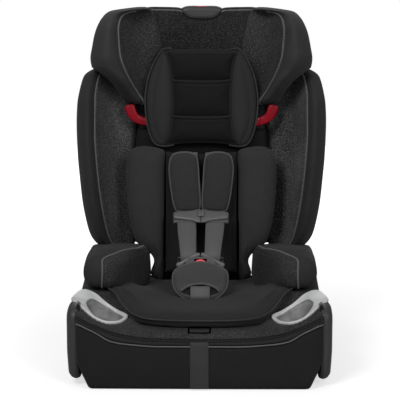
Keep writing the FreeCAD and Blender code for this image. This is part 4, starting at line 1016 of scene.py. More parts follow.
def body_lobe(label, side):
    """One side bolster of the body insert, tall and narrowing to the hips, with a piped edge."""
    low, high = BACK.extent("body_insert")
    half, foot, tall = high[0], low[2], high[2] - low[2]
    inner = 0.485
    keys = in_box(0, side * half, foot, tall, [
        (inner, 0.965), (0.56, 0.985), (0.72, 1.0), (0.87, 0.995), (0.955, 0.955), (0.99, 0.88),
        (1.0, 0.74), (0.99, 0.56), (0.955, 0.38), (0.905, 0.262), (0.815, 0.197), (0.705, 0.148),
        (0.645, 0.08), (0.65, -0.035), (0.57, -0.055), (inner, -0.05), (inner - 0.005, 0.2),
        (inner - 0.005, 0.5), (inner - 0.005, 0.8),
    ])
    per_key, piped_keys = 6, 14
    outline = curve(keys, closed=True, per=per_key)
    middle = (low[1] + high[1]) / 2 - 1
    bulge = lambda p: 10.0 * step_up(0.5, 1.0, np.abs(p[:, 0]) / half)
    made = quilt(f"body_lobe_{label}", outline, puff(15.0, 24.0), puff(13.0, 9.0),
                 flat_place(BACK, middle, bulge), BODY_SATIN, 4.5)
    inflate(made, cap=4.0, voxel=4.5)
    soft_piece(made, "backrest", "insert_fabric", fill=0.8)
    edge = outline[per_key : piped_keys * per_key]
    line = hug(made, even(line_at(BACK, edge, middle - 1 - bulge(edge)), 6.0))
    cord(f"body_lobe_piping_{label}", curve(line, per=3), 1.5, SHADE_PIPING, "backrest",
         "insert_fabric")


def body_centre():
    """The insert's middle panel: fine vertical ribs, flat under the harness."""
    low, high = BACK.extent("body_insert")
    half, foot, tall = high[0], low[2], high[2] - low[2]
    inner = 0.475 * half
    rim = foot + tall * 0.955
    right = [(0, rim - 4), (inner * 0.6, rim - 2), (inner * 0.96, rim), (inner, rim - 8),
             (inner, foot + tall * 0.5), (inner, foot + 10), (inner * 0.97, foot), (0, foot)]
    outline = curve(both_sides(right), closed=True, per=6)
    rib = 2.6
    channels = lambda x: 0.7 * np.abs(np.sin(math.pi * x / rib / 2)) * (np.abs(x) < 0.62 * inner)
    left_fold, right_fold = (groove([(x, rim), (x, foot)], 2.5, 3.0) for x in (-inner * 0.86, inner * 0.86))
    front = lambda p, d: 9.0 * rounded(d, 10.0) + channels(p[:, 0]) - left_fold(p) - right_fold(p)
    made = quilt("body_centre", outline, front, puff(10.0, 8.0),
                 flat_place(BACK, (low[1] + high[1]) / 2 + 2), RIBBED, 2.6)
    soft_piece(made, "backrest", "insert_fabric", "body_insert", fill=0.4)


back_cushion()
body_centre()
on_both_sides(body_lobe)


# ---------------------------------------------------------------- harness

def shoulder_pad(label, side):
    """A padded sleeve on a shoulder strap, bound all round with a lighter tape."""
    low, high = BACK.extent(f"shoulder_pad_{label}")
    inner, outer = outward(low, high)
    keys = in_box(side * inner, side * (outer - inner), low[2], high[2] - low[2], [
        (0.10, 1.0), (0.28, 1.10), (0.52, 1.12), (0.78, 1.10), (0.95, 1.03), (1.02, 0.80), (0.97, 0.45),
        (0.90, 0.18), (0.82, 0.0), (0.70, -0.065), (0.38, -0.075), (0.08, -0.06), (0.01, 0.02),
        (0.0, 0.2), (0.04, 0.6),
    ])
    outline = curve(keys, closed=True, per=5)
    middle = (low[1] + high[1]) / 2
    front = lambda p, d: 7.0 * rounded(d, 9.0) + 1.5 * rounded(d, 26.0)
    made = quilt(f"shoulder_sleeve_{label}", outline, front, puff(6.0, 6.0),
                 flat_place(BACK, middle), PAD_GREY, 3.5)
    inflate(made, cap=1.5, voxel=3.0)
    soft_piece(made, "backrest", "insert_fabric", f"shoulder_pad_{label}", fill=0.6)
    cord(f"shoulder_binding_{label}", line_at(BACK, outline, middle - 0.5), 2.0, BINDING, "backrest",
         "insert_fabric", closed=True)


def shoulder_strap(label, side):
    """Webbing from its slot in the backrest, under the sleeve, to the tongue at the buckle.
    Its lower run goes from the backrest to the base."""
    low, high = BACK.extent(f"shoulder_strap_{label}")
    pad_low, pad_high = BACK.extent(f"shoulder_pad_{label}")
    _, tongue_high = CROTCH.extent(f"tongue_{label}")
    clip_low, clip_high = CHEST.extent(f"chest_clip_{label}")
    centre = side * (abs(low[0]) + abs(high[0])) / 2
    front, slot = (pad_low[1] + pad_high[1]) / 2, high[2] - 2
    upper = BACK.out([(centre, 4, slot), (centre, -20, slot - 2), (centre, front * 0.62, slot - 3),
                      (centre, front * 0.88, slot - 7), (centre, front - 0.5, slot - 18),
                      (centre, front - 0.5, (slot + pad_low[2]) / 2), (centre, front - 0.5, pad_low[2] + 8)])
    strap_depth = (clip_low[1] + clip_high[1]) / 2 + 1.0
    drop = CHEST.out([(centre * 1.08, strap_depth, clip_high[2] + 4),
                      (centre * 1.08, strap_depth, clip_low[2] - 2)])
    end = CROTCH.out([(side * 22, tongue_high[1] - 9, tongue_high[2] - 6),
                      (side * 21, tongue_high[1] + 1, tongue_high[2] - 28)])
    path = even(curve(np.vstack([upper, drop, end]), per=10), 4.0)
    made = sweep(f"shoulder_webbing_{label}", path, ribbon(34.0, 2.0), WEBBING, side=(1, 0, 0),
                 width=through([(0, 1), (0.72, 1), (0.86, 0.90), (1, 0.80)]))
    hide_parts(f"shoulder_strap_{label}")
    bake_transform(made)


def lap_strap(label, side):
    """The short run of webbing from the tongue down to the anchor bar in the seat."""
    low, high = WORLD.extent(f"lap_strap_{label}")
    _, tongue_high = CROTCH.extent(f"tongue_{label}")
    centre = side * (abs(low[0]) + abs(high[0])) / 2
    start = CROTCH.out([(centre, tongue_high[1] + 1, tongue_high[2] - 14)])[0]
    halfway = (high[2] + low[2]) / 2
    path = [start, (centre, high[1] - 4, halfway + 22), (centre, low[1] + 10, halfway - 12),
            (centre, low[1] + 4, low[2] + 3)]
    made = sweep(f"lap_webbing_{label}", even(curve(path), 4.0), ribbon(19.0, 2.0), WEBBING,
                 side=(1, 0, 0))
    trim_piece(made, "base", "webbing", f"lap_strap_{label}")


def tongue(label, side):
    """The moulded grip of a tongue, sloping down and out over the buckle to a flared end."""
    low, high = CROTCH.extent(f"tongue_{label}")
    depth = low[1] - 7
    at = lambda out, down: (side * out, depth, high[2] - 4.5 - down)
    spine = even(curve([at(1, 5), at(9, 8), at(20, 13.5), at(31, 20), at(38, 24), at(43, 25.5)], per=6), 1.5)
    fat = through([(0, 3.0), (0.12, 4.2), (0.6, 3.6), (0.82, 4.2), (0.93, 4.6), (1.0, 2.4)])
    rings = []
    for number, spot in enumerate(spine):
        deep, tall = soft_bar(3.6, fat(number / (len(spine) - 1)), 0.7)
        rings.append(spot + np.stack([tall * 0.35 * side, deep, tall], 1))
    made = loft(f"tongue_grip_{label}", [CROTCH.out(r) for r in rings], CLIP_GREY)
    trim_piece(made, "base", "buckle_plastic", f"tongue_{label}")


def red_button():
    """The release button, domed at its top, in the mouth of the buckle."""
    low, high = CROTCH.extent("buckle_button")
    half = high[0]
    right = [(0, high[2] - 0.5), (half * 0.55, high[2] - 2), (half * 0.95, high[2] - 6),
             (half * 0.97, low[2] + 3), (half * 0.8, low[2]), (0, low[2])]
    outline = curve(both_sides(right), closed=True, per=6)
    made = quilt("red_button", outline, puff(3.2, 3.5), puff(3.0, 2.0),
                 flat_place(CROTCH, low[1] - 0.6), BUTTON_RED, 1.8)
    trim_piece(made, "buckle_push", "red_plastic", "buckle_button")


def crotch_pad():
    """The pad over the buckle: a bound shield with an arched slot that its webbing comes out of."""
    low, high = CROTCH.extent("crotch_pad")
    half, foot, tall = high[0], low[2], high[2] - low[2]
    middle = (low[1] + high[1]) / 2
    shield = in_box(0, half, foot, tall, [
        (0, 0.925), (0.30, 0.90), (0.58, 0.85), (0.90, 0.735), (1.06, 0.61), (1.09, 0.43), (1.04, 0.20),
        (0.88, 0.01), (0.68, -0.105), (0.46, -0.175), (0, -0.20),
    ])
    outline = curve(both_sides(shield), closed=True, per=6)
    arch = curve(in_box(0, half, foot, tall, [
        (-0.76, 0.04), (-0.60, 0.15), (-0.32, 0.235), (0, 0.265), (0.32, 0.235), (0.60, 0.15),
        (0.76, 0.04),
    ]), per=5)
    sill = curve(in_box(0, half, foot, tall, [
        (0.76, 0.04), (0.50, -0.05), (0, -0.09), (-0.50, -0.05), (-0.76, 0.04),
    ]), per=5)
    bow = lambda p: 9.0 * step_up(foot + 0.35 * tall, foot - 0.2 * tall, p[:, 1])
    mouth = np.vstack([arch, sill[1:-1]])
    hollow = lambda p: 5.0 * np.where(inside(p, mouth), rounded(distance(p, mouth, True), 5.0), 0)
    front = lambda p, d: 6.0 * rounded(d, 9.0) + 2.5 * rounded(d, 34.0) - hollow(p)
    made = quilt("crotch_shield", outline, front, puff(5.0, 5.0), flat_place(CROTCH, middle, bow),
                 [PAD_GREY_LIGHT, RIBBED], 2.6, finish_at=lambda p: inside(p, mouth))
    soft_piece(made, "base", "insert_fabric", "crotch_pad", fill=0.5)
    border = line_at(CROTCH, outline, middle - 0.5 - bow(outline))
    cord("crotch_binding", border, 2.0, BINDING, "base", "insert_fabric", closed=True)
    lift = front(arch + [0, 1.0], distance(arch, outline, True))
    above = line_at(CROTCH, arch + [0, 1.0], middle - lift - 0.2 - bow(arch))
    cord("crotch_slot_lip", above, 2.4, BINDING, "base", "insert_fabric")
    front_face = low[1] - 3.0
    path = [(0, middle - 7, foot + 0.20 * tall), (0, front_face - 5.0, foot + 0.14 * tall),
            (0, front_face - 8.0, foot + 0.02 * tall), (0, front_face - 8.5, foot - 0.14 * tall),
            (0, middle - 7, foot - 0.24 * tall), (0, high[1] + 2, foot - 0.36 * tall)]
    strap = sweep("crotch_webbing", even(curve(CROTCH.out(path)), 3.0), ribbon(35.0, 2.2), WEBBING,
                  side=(1, 0, 0))
    trim_piece(strap, "base", "webbing", "crotch_strap")


def chest_clip():
    """The two-piece chest clip: bow-shaped plates over strap loops, and a release tab between."""
    low, high = CHEST.extent("chest_clip_right")
    tab_low, tab_high = CHEST.extent("chest_clip_tab")
    half, centre = high[0], (low[2] + high[2]) / 2
    face = low[1] + 4.5
    for label, side in SIDES.items():
        plate = in_box(0, side * half, centre, 1, [
            (0.004, 14.8), (0.10, 15), (0.20, 14.5), (0.27, 12.5), (0.6, 10.5), (0.93, 8.0),
            (0.99, 5.5), (1.0, 0), (0.98, -7.5), (0.93, -8.6), (0.6, -12.0), (0.28, -14.8),
            (0.22, -17.5), (0.10, -18.6), (0.004, -18.2), (0.004, 0),
        ])
        made = quilt(f"chest_clip_plate_{label}", curve(plate, closed=True, per=4), puff(3.4, 4.5),
                     puff(2.5, 2.0), flat_place(CHEST, face), CLIP_GREY, 2.2)
        trim_piece(made, "chest_clip", "clip_plastic", f"chest_clip_{label}")
        loop = in_box(0, side * half, centre, 1, [
            (0.10, 10), (0.5, 12), (0.93, 11), (0.995, 9), (1.0, 0), (0.995, -14), (0.94, -16),
            (0.5, -15), (0.12, -14), (0.10, 0),
        ])
        back = quilt(f"chest_clip_loop_{label}", curve(loop, closed=True, per=4), puff(3.0, 3.0),
                     puff(4.0, 3.0), flat_place(CHEST, face + 4.5), BUCKLE_GREY, 2.6)
        trim_piece(back, "chest_clip", "clip_plastic")
    half_tab = tab_high[0]
    button = [(0, tab_high[2]), (half_tab * 0.85, tab_high[2]), (half_tab, tab_high[2] - 2),
              (half_tab, tab_low[2] + 2), (half_tab * 0.85, tab_low[2]), (0, tab_low[2])]
    tab = quilt("chest_clip_button", curve(both_sides(button), closed=True, per=4), puff(2.2, 2.5),
                puff(2.0, 1.5), flat_place(CHEST, tab_low[1] + 1.4), CLIP_GREY, 1.8)
    trim_piece(tab, "clip_release", "clip_plastic", "chest_clip_tab")


def rear_strap():
    """The single strap behind the backrest, from the splitter plate down to the adjuster."""
    low, high = BACK.extent("harness_rear_strap")
    depth = (low[1] + high[1]) / 2
    heights = np.linspace(high[2], low[2], 40)
    path = BACK.out([(0, depth, z) for z in heights])
    thick = min(high[1] - low[1], 2.4)
    made = sweep("harness_tail_webbing", path, ribbon(high[0] - low[0], thick), WEBBING, side=(1, 0, 0))
    trim_piece(made, "backrest", "webbing", "harness_rear_strap")


on_both_sides(shoulder_pad, shoulder_strap, lap_strap, tongue)
red_button()
crotch_pad()
chest_clip()
rear_strap()


# ---------------------------------------------------------------- base covers

COVER_LOW, COVER_HIGH = WORLD.extent("seat_cover")
SKIRT_LOW, SKIRT_HIGH = WORLD.extent("front_skirt")
INSERT_LOW, INSERT_HIGH = WORLD.extent("seat_insert_pad")
PANEL_LOW, PANEL_HIGH = WORLD.extent("side_panel_right")
BASE_HALF = COVER_HIGH[0] + 8.0
BASE_FRONT = COVER_LOW[1]
CORNER_RADIUS = 36.0
HEM = SKIRT_HIGH[2]

# how high the piping and the sewn edge above it run across the front, by distance from the middle
PIPING_LINE = through([(0, HEM - 6), (67, HEM - 6), (127, HEM - 2), (153, HEM + 3), (179, HEM + 18),
                       (204, HEM + 30)])
SEWN_LINE = through([(0, HEM + 6), (84, HEM + 8), (136, HEM + 15), (179, HEM + 30), (204, HEM + 42)])


def front_of(x):
    """The plan line of the base's front, bowed a little and turned back at its corners."""
    reach = np.abs(x) / BASE_HALF
    bow = -1.5 * (1 - reach**2)
    turned = 16.0 * (1 - np.sqrt(1 - np.clip((reach - 0.90) / 0.10, 0, 1) ** 2 * 0.98))
    return BASE_FRONT + bow + turned


def skirt():
    """The smooth cloth across the front, hemmed round at its foot and cut away at both corners."""
    xs = BASE_HALF * np.sin(np.linspace(-1, 1, 121) * math.pi / 2)
    hem = SKIRT_LOW[2] - 2.5
    foot_line = through([(0, hem), (184, hem), (190, hem + 1.5), (199, hem + 18), (205, hem + 30),
                         (213, hem + 50)])
    rings = []
    for x in xs:
        foot, top = float(foot_line(abs(x))), float(PIPING_LINE(abs(x)))
        front = float(front_of(x))
        shares = np.linspace(0, 1, 15)
        ripple = 0.8 * math.sin(x * 0.06) * np.sin(shares * 2 * math.pi)
        bulge = 2.2 * np.sin(shares * math.pi) + ripple
        rise = shares * (top - foot)
        fall = (1 - shares) * (top - foot)
        edge = 2.5 * (1 - rounded(rise, 4.0)) + 1.5 * (1 - rounded(fall, 3.0))
        outer = [(x, front - b + e, foot + s * (top - foot)) for s, b, e in zip(shares, bulge, edge)]
        inner = [(x * 0.985, front + 5.0, foot + s * (top - foot)) for s in (0.98, 0.5, 0.02)]
        rings.append(outer + inner)
    # the skirt's cloth is the darker copy of the charcoal: painted shade
    made = loft("front_skirt_cloth", rings, SKIRT_CLOTH_SHADED)
    trim_piece(made, "base", "charcoal_fabric", "front_skirt")
    line = [(x, float(front_of(x)) - 1.2, float(PIPING_LINE(abs(x)))) for x in xs[1:-1]]
    cord("front_piping", line, 1.3, PIPING, "base", "charcoal_fabric")


TRAY_RIM = [(-0.02, 0.44, 0.28), (0.13, 0.17, 0.24), (0.44, 0.01, 0.29), (0.74, 0.09, 0.41),
            (1.03, 0.31, 0.61), (1.27, 0.57, 0.73), (1.28, 0.73, 0.77), (1.07, 0.92, 0.91),
            (0.79, 1.02, 0.76), (0.51, 0.97, 0.48), (0.23, 0.78, 0.33), (0.04, 0.59, 0.30)]
TRAY_DISH = [(0.06, 0.44, 0.26), (0.20, 0.22, 0.24), (0.43, 0.09, 0.28), (0.68, 0.16, 0.36),
             (0.86, 0.35, 0.51), (0.955, 0.56, 0.63), (0.94, 0.72, 0.68), (0.83, 0.86, 0.69),
             (0.65, 0.92, 0.55), (0.43, 0.87, 0.38), (0.26, 0.73, 0.29), (0.12, 0.58, 0.27)]


def tray_loop(label, side, shares=TRAY_RIM):
    """A loop of a cup tray, as shares of its box: a bean, low at its inner tip and humped over
    the corner of the base."""
    low, high = WORLD.extent(f"cup_tray_{label}")
    inner, outer = outward(low, high)
    wide, long, tall = outer - inner, high[1] - low[1], high[2] - low[2]
    keys = [(side * (inner + a * wide), low[1] + b * long, low[2] + c * tall) for a, b, c in shares]
    return curve(keys, closed=True, per=6)


def top_height(x, y):
    """The height of the base's top cloth: a sunk pan, shoulders beside it, and a front that
    slopes up from the sewn edge to the corners."""
    reach = np.abs(x)
    pan, shoulder = INSERT_LOW[2] - 1.0, COVER_HIGH[2] - 0.5
    beside = pan + (shoulder - pan) * step_up(103, 124, reach)
    corners = through([(0, pan), (95, pan + 0.5), (128, pan + 6), (164, pan + 18), (192, pan + 32),
                       (204, pan + 35)])
    behind = step_up(BASE_FRONT + 88, BASE_FRONT + 124, y)
    height = corners(reach) + (beside - corners(reach)) * behind
    rise = rounded(y - BASE_FRONT, 26.0)
    edge = SEWN_LINE(reach)
    side_drop = 9.0 * (1 - rounded(BASE_HALF - reach, 9.0))
    return edge + (height - edge) * rise - side_drop * np.clip(rise * 1.3, 0, 1)


BAND_ROWS = 3  # the rows of a cover's line below the sewn edge
FRONT_ROWS = 4  # its rows before the top begins
TRAY_MARGIN = 26.0  # how far from a tray the cover starts to bend towards its rim


def cover_lines():
    """The base's cover as fore-and-aft lines across the seat: front band, top and back hem."""
    xs = np.concatenate([[-BASE_HALF], np.linspace(-BASE_HALF + 0.3, BASE_HALF - 0.3, 118), [BASE_HALF]])
    back = COVER_HIGH[1]
    ys = np.concatenate([BASE_FRONT + 28 * np.linspace(0.02, 1, 9) ** 1.6,
                         np.linspace(BASE_FRONT + 32, back - 3, 84)])
    side_floor = COVER_LOW[2]
    lines = []
    for number, x in enumerate(xs):
        reach = abs(x)
        front = float(front_of(x))
        piping, sewn = float(PIPING_LINE(reach)), float(SEWN_LINE(reach))
        profile = [(front + 1.2, piping), (front - 0.6, piping + 0.35 * (sewn - piping)),
                   (front - 0.6, piping + 0.7 * (sewn - piping)), (front + 0.4, sewn - 0.4)]
        heights = top_height(np.full(len(ys), x), ys)
        rear = back - CORNER_RADIUS * (1 - float(rounded(BASE_HALF - reach, CORNER_RADIUS)))
        shift = np.clip(ys, front + 0.6, rear - 3)
        if number in (0, len(xs) - 1):
            heights = np.minimum(heights, np.maximum(side_floor, heights - 60))
            profile = [(y, min(z, side_floor + 26)) for y, z in profile]
        top = list(zip(shift, heights))
        hem = [(rear, heights[-1] - 4), (rear, side_floor + 20), (rear - 1, side_floor)]
        lines.append([(x, y, z) for y, z in profile + top + hem])
    return np.array(lines)


def meet_tray(lines, rim):
    """Brings the cover's top round a tray to just under the tray's rim."""
    flat = lines[..., :2].reshape(-1, 2)
    marks = rim[::2]
    apart = np.linalg.norm(flat[:, None] - marks[None, :, :2], axis=2)
    share = 1 - step_up(6.0, TRAY_MARGIN, apart.min(1))
    share[inside(flat, rim[:, :2])] = 1
    wanted = marks[apart.argmin(1)][:, 2] - 4.0
    up = lines[..., 2].reshape(-1)
    is_top = np.tile(np.arange(lines.shape[1]) > FRONT_ROWS + 2, lines.shape[0])
    lines[..., 2] = np.where(is_top, up + (wanted - up) * share, up).reshape(lines.shape[:2])


def cover_faces(lines, holes):
    """The cover's faces and their finishes, with the trays and the adjuster's slot left open."""
    lever_low, lever_high = WORLD.extent("adjuster_lever")
    slot_half = lever_high[0] + 2
    count, size = lines.shape[:2]
    faces, finish_of = [], []
    for i in range(count - 1):
        for k in range(size - 1):
            middle = (lines[i, k] + lines[i + 1, k + 1]) / 2
            in_tray = any(inside(middle[None, :2], hole)[0] for hole in holes)
            beside_lever = lever_low[1] - 3 < middle[1] < lever_high[1] + 2
            in_slot = abs(middle[0]) < slot_half and beside_lever
            if k > FRONT_ROWS and (in_tray or in_slot):
                continue
            faces.append((i * size + k, (i + 1) * size + k, (i + 1) * size + k + 1, i * size + k + 1))
            finish_of.append(1 if k < BAND_ROWS else 0)
    return faces, finish_of


def base_cover():
    """The base's mesh cover in one skin: front band, top, shoulders and back, open at the trays
    and at the adjuster's slot."""
    lines = cover_lines()
    rims = [tray_loop(label, side) for label, side in SIDES.items()]
    for rim in rims:
        meet_tray(lines, rim)
    middles = [rim[:, :2].mean(0) for rim in rims]
    holes = [middle + (rim[:, :2] - middle) * 0.955 for rim, middle in zip(rims, middles)]
    faces, finish_of = cover_faces(lines, holes)
    made = piece("base_cover", lines.reshape(-1, 3), faces, [BASE_SPECKLE, CHARCOAL], finish_of)
    form = bmesh.new()
    form.from_mesh(made.data)
    bmesh.ops.delete(form, geom=[v for v in form.verts if not v.link_faces], context="VERTS")
    form.to_mesh(made.data)
    form.free()
    if made.data.polygons[len(made.data.polygons) // 2].normal.z < 0:
        made.data.flip_normals()
    skin = made.modifiers.new("thickness", "SOLIDIFY")
    skin.thickness = 2.0 * MM
    skin.offset = -1
    trim_piece(made, "base", "mesh_fabric", "seat_cover")


def front_seams():
    """The two rows of sewing along the cover's front edge."""
    across = np.linspace(-BASE_HALF + 2, BASE_HALF - 2, 160)
    for label, lift, depth in (("lower", -3.4, -0.55), ("upper", 0.6, 0.0)):
        line = [(x, float(front_of(x)) + depth, float(SEWN_LINE(abs(x))) + lift) for x in across]
        cord(f"front_seam_{label}", line, 0.9, THREAD_AND_SEAM_SHADE, "base", "mesh_fabric")
        sewn = [(x, y - 0.2, z - 1.6) for x, y, z in line]
        trim_piece(stitches(f"front_stitches_{label}", sewn, THREAD_AND_SEAM_SHADE), "base", "mesh_fabric")


def seat_insert():
    """The seat cushion: a bound pad, dished for the child, with a rolled front lip."""
    half, front, rear = INSERT_HIGH[0], INSERT_LOW[1] - 2.0, INSERT_HIGH[1]
    thick = 10.5
    right = [(0, front), (0.30 * half, front + 2), (0.52 * half, front + 10), (0.70 * half, front + 28),
             (0.83 * half, front + 56), (0.92 * half, front + 84), (1.0 * half, front + 104),
             (1.02 * half, front + 124), (0.99 * half, front + 150), (0.93 * half, front + 176),
             (0.84 * half, front + 200), (0.72 * half, front + 240), (0.66 * half, rear - 20),
             (0.55 * half, rear - 2), (0, rear)]
    outline = curve(both_sides(right), closed=True, per=5)
    mid = INSERT_LOW[2] + thick
    side_rise = INSERT_HIGH[2] - 4 - (mid + thick)

    def seam_height(p):
        reach = np.abs(p[:, 0]) / half
        ahead = 0.35 + 0.65 * step_up(front + 20, front + 96, p[:, 1])
        return side_rise * step_up(0.55, 1.0, reach) * ahead * step_up(rear, front + 150, p[:, 1])

    def place(p, rise):
        fall = 12.0 * step_up(front + 130, rear, p[:, 1])
        return WORLD.out(np.stack([p[:, 0], p[:, 1], mid + seam_height(p) - fall + rise], 1))

    dish = lambda p: 3.0 * np.exp(-((p[:, 0] / 70) ** 2 + ((p[:, 1] - front - 120) / 90) ** 2))
    front_rise = lambda p, d: thick * rounded(d, 13.0) + 3.0 * rounded(d, 60.0) - dish(p)
    # the cushion's darker satin is painted shade
    made = quilt("seat_cushion", outline, front_rise, puff(thick, 10.0), place, SEAT_SATIN_SHADED, 5.0)
    inflate(made, cap=3.0, voxel=5.0)
    soft_piece(made, "base", "insert_fabric", "seat_insert_pad", fill=0.6)
    edge = outline[outline[:, 1] < front + 110]
    edge = edge[np.argsort(edge[:, 0])]
    line = place(edge, np.full(len(edge), 5.0)) + [0, -0.3, 0]
    cord("seat_cushion_welt", line, 1.3, SHADE_PIPING, "base", "insert_fabric")


ARM_FACE = through([(0, 0.42), (0.08, 0.38), (0.20, 0.32), (0.34, 0.22), (0.5, 0.10), (0.66, -0.02),
                    (0.8, -0.07), (1, -0.09)])
ARM_SEAM = through([(0, 0.66), (0.06, 0.67), (0.12, 0.62), (0.22, 0.50), (0.4, 0.32), (0.6, 0.10),
                    (1, 0.0)])
ARM_TOP = through([(0, 0.81), (0.08, 0.86), (0.18, 0.885), (0.30, 0.885), (0.46, 0.84), (0.62, 0.75),
                   (0.8, 0.66), (1, 0.57)])
ARM_PER_KEY = 6
ARM_SEAM_POINT = 7 * ARM_PER_KEY  # the point of a section on the seam along the armrest's top


def armrest_section(share, inner, outer, foot, tall):
    """One upright section of an armrest, at a share of its length from the front."""
    nose, tail_start = 0.11, 0.96
    wide = outer - inner
    under_seam = inner + 0.68 * wide
    face = inner + wide * float(ARM_FACE(share))
    seam = inner + wide * float(ARM_SEAM(share))
    height = tall * float(ARM_TOP(share))
    inner_foot = foot - 40.0 * float(step_up(0.10, 0.34, share))
    keys = [
        (under_seam, foot + 1.5), (outer - 15, foot + 3), (outer - 3.5, foot + 0.22 * height),
        (outer, foot + 0.50 * height), (outer - 3.5, foot + 0.79 * height),
        (outer - 14, foot + 0.95 * height), ((seam + outer - 14) / 2, foot + height),
        (seam, foot + 0.94 * height), (face + 0.3 * (seam - face), foot + 0.80 * height),
        (face, foot + 0.5 * height), (face + 1, inner_foot + 0.2 * height),
        (face + 0.4 * (under_seam - face), inner_foot + 1),
    ]
    ring = curve(keys, closed=True, per=ARM_PER_KEY)
    end = math.sqrt(max(0.0, 1 - max(0.0, 1 - share / nose) ** 2))
    tail = math.sqrt(max(0.0, 1 - (max(0.0, share - tail_start) / 0.04) ** 2))
    heart = np.array((outer - 0.34 * wide, foot + 0.5 * height)) if share < 0.5 else ring.mean(0)
    return heart + (ring - heart) * (0.02 + 0.98 * end) * (0.5 + 0.5 * tail)


def armrest(label, side):
    """A padded armrest: a rounded charcoal end and outside, and a mesh face that runs in and
    back, low behind the elbow, to the backrest."""
    low, high = WORLD.extent(f"armrest_pad_{label}")
    inner, outer = outward(low, high)
    front, rear, foot = low[1], high[1], low[2] - 2
    rings = []
    for share in 0.5 - 0.5 * np.cos(np.linspace(0, math.pi, 64)):
        y = front + (rear - front) * share
        ring = armrest_section(share, inner, outer, foot, high[2] - foot)
        rings.append([(side * x, y, z) for x, z in ring])
    rings = np.array(rings)
    finish_of = [1 if k < ARM_SEAM_POINT else 0 for k in range(rings.shape[1])]
    made = loft(f"armrest_cushion_{label}", rings, [BASE_SPECKLE, CHARCOAL], finish_of)
    soft_piece(made, "base", "charcoal_fabric", f"armrest_pad_{label}", fill=0.8)
    over = rings[1:-3, ARM_SEAM_POINT][::-1]
    under = rings[1:26, 0]
    forward = np.array((0, -1.0, 0))
    cord(f"armrest_piping_{label}", np.vstack([over, under]) + forward, 1.6, PIPING, "base",
         "charcoal_fabric")


def cup_tray(label, side):
    """A light plastic cup tray with a rolled rim and a broad flange, and the grey liner dished
    inside it."""
    rim, dish = tray_loop(label, side), tray_loop(label, side, TRAY_DISH)
    up = np.array((0, 0, 1.0))
    out = (rim - dish) * [1, 1, 0]
    out /= np.linalg.norm(out, axis=1)[:, None]
    rings = [rim - up * 6 + out * 0.2, rim - up * 2.5 + out * 1.5, rim - up * 0.3 + out * 1.3,
             rim + up * 0.8 + out * 0.2, rim + up * 0.9 - out * 1.2,
             rim * 0.8 + dish * 0.2 + up * 0.1, rim * 0.45 + dish * 0.55 - up * 0.5,
             rim * 0.12 + dish * 0.88 - up * 0.2, dish - up * 0.8, dish - up * 3.5 - out * 0.6,
             dish - up * 3.5 + out * 0.9, rim * 0.5 + dish * 0.5 - up * 3.2, rim - up * 7 - out * 1.5]
    made = loft(f"cup_tray_shell_{label}", rings, TRAY_GREY, closed=True)
    trim_piece(made, "base", "tray_plastic", f"cup_tray_{label}")
    low, _ = WORLD.extent(f"cup_tray_{label}")
    middle = dish.mean(0)
    floor_up = low[2] + 3.5
    spread = (dish - middle) * [1, 1, 0]
    bowl = []
    for share in (1.0, 0.97, 0.93, 0.87, 0.79, 0.68, 0.52, 0.32, 0.10):
        sunk = rounded(1 - share, 0.40)
        height = (dish[:, 2] - 1.0) * (1 - sunk) + (floor_up + 0.12 * side * spread[:, 0] * share) * sunk
        bowl.append(middle * [1, 1, 0] + spread * share + up * height[:, None])
    under = [loop - up * 2.2 for loop in bowl]
    liner = loft(f"tray_dish_{label}", bowl[::-1] + under, LINER_RUBBER)
    trim_piece(liner, "base", "liner_rubber", f"tray_liner_{label}")


def side_panel(label, side):
    """A glossy side moulding: a rolled rim round a satin field, screwed to the base."""
    low, high = PANEL_LOW, PANEL_HIGH
    front, rear, foot, top = low[1] - 2, high[1], low[2] - 0.5, high[2]
    keys = [(front, foot + 26), (front + 3, foot + 10), (front + 14, foot), (front + 60, foot),
            (rear - 60, foot), (rear - 14, foot), (rear - 2, foot + 12), (rear, foot + 30),
            (rear - 4, top - 76), (rear - 20, top - 64), (rear - 90, top - 46),
            (front + 150, top - 22), (front + 80, top - 5), (front + 40, top - 1),
            (front + 14, top - 4), (front + 2, top - 14), (front, top - 36), (front, top - 70)]
    outline = curve(keys, closed=True, per=5)
    inner = low[0] + 10.0
    reach = high[0] - inner
    rim_at, groove_at = 7.0, 17.0
    dent = lambda d: (1.8 * np.exp(-(((d - groove_at) / 1.6) ** 2))
                      + 0.9 * np.exp(-(((d - rim_at) / 1.2) ** 2)))
    tuck = lambda p: 2.5 * step_up(foot + 60, foot, p[:, 1])
    rise = lambda p, d: reach * rounded(d, 14.0) - 1.4 * step_up(0, 60, d) - dent(d) - tuck(p)

    def place(p, lift):
        return WORLD.out(np.stack([side * (inner + lift), p[:, 0], p[:, 1]], 1))

    def field(p):
        away = distance(p, outline, True)
        return (away > groove_at) | (away < rim_at)

    made = quilt(f"side_moulding_{label}", outline, rise, puff(9.5, 6.0), place, [RIM_BLACK, RIM_SATIN],
                 4.0, finish_at=field)
    trim_piece(made, "base", "rim_gloss", f"side_panel_{label}")


def adjuster_tail():
    """The strap that tightens the harness: out of its slot, over the edge and down the front."""
    low, high = WORLD.extent("adjuster_strap")
    lever_low, lever_high = WORLD.extent("adjuster_lever")
    face = BASE_FRONT - 3.2
    path = [(0, high[1], low[2] + 66), (0, lever_high[1] + 30, high[2] - 6),
            (0, lever_high[1] + 2, high[2] - 1), (0, lever_low[1] + 2, high[2] + 3.0),
            (0, face + 3.0, high[2] - 1.0), (0, face + 0.2, high[2] - 9), (0, face - 1.2, high[2] - 30),
            (0, face - 2.2, (low[2] + high[2]) / 2), (0, face - 1.4, low[2] + 12),
            (0, face - 0.4, low[2] - 3)]
    section = ribbon(high[0] - low[0], 2.0)
    strap = sweep("adjuster_webbing", even(curve(path), 3.5), section, TAIL_WEBBING, side=(1, 0, 0))
    trim_piece(strap, "base", "webbing", "adjuster_strap")


skirt()
base_cover()
front_seams()
seat_insert()
on_both_sides(armrest, cup_tray, side_panel)
adjuster_tail()


# ---------------------------------------------------------------- floor, light and camera

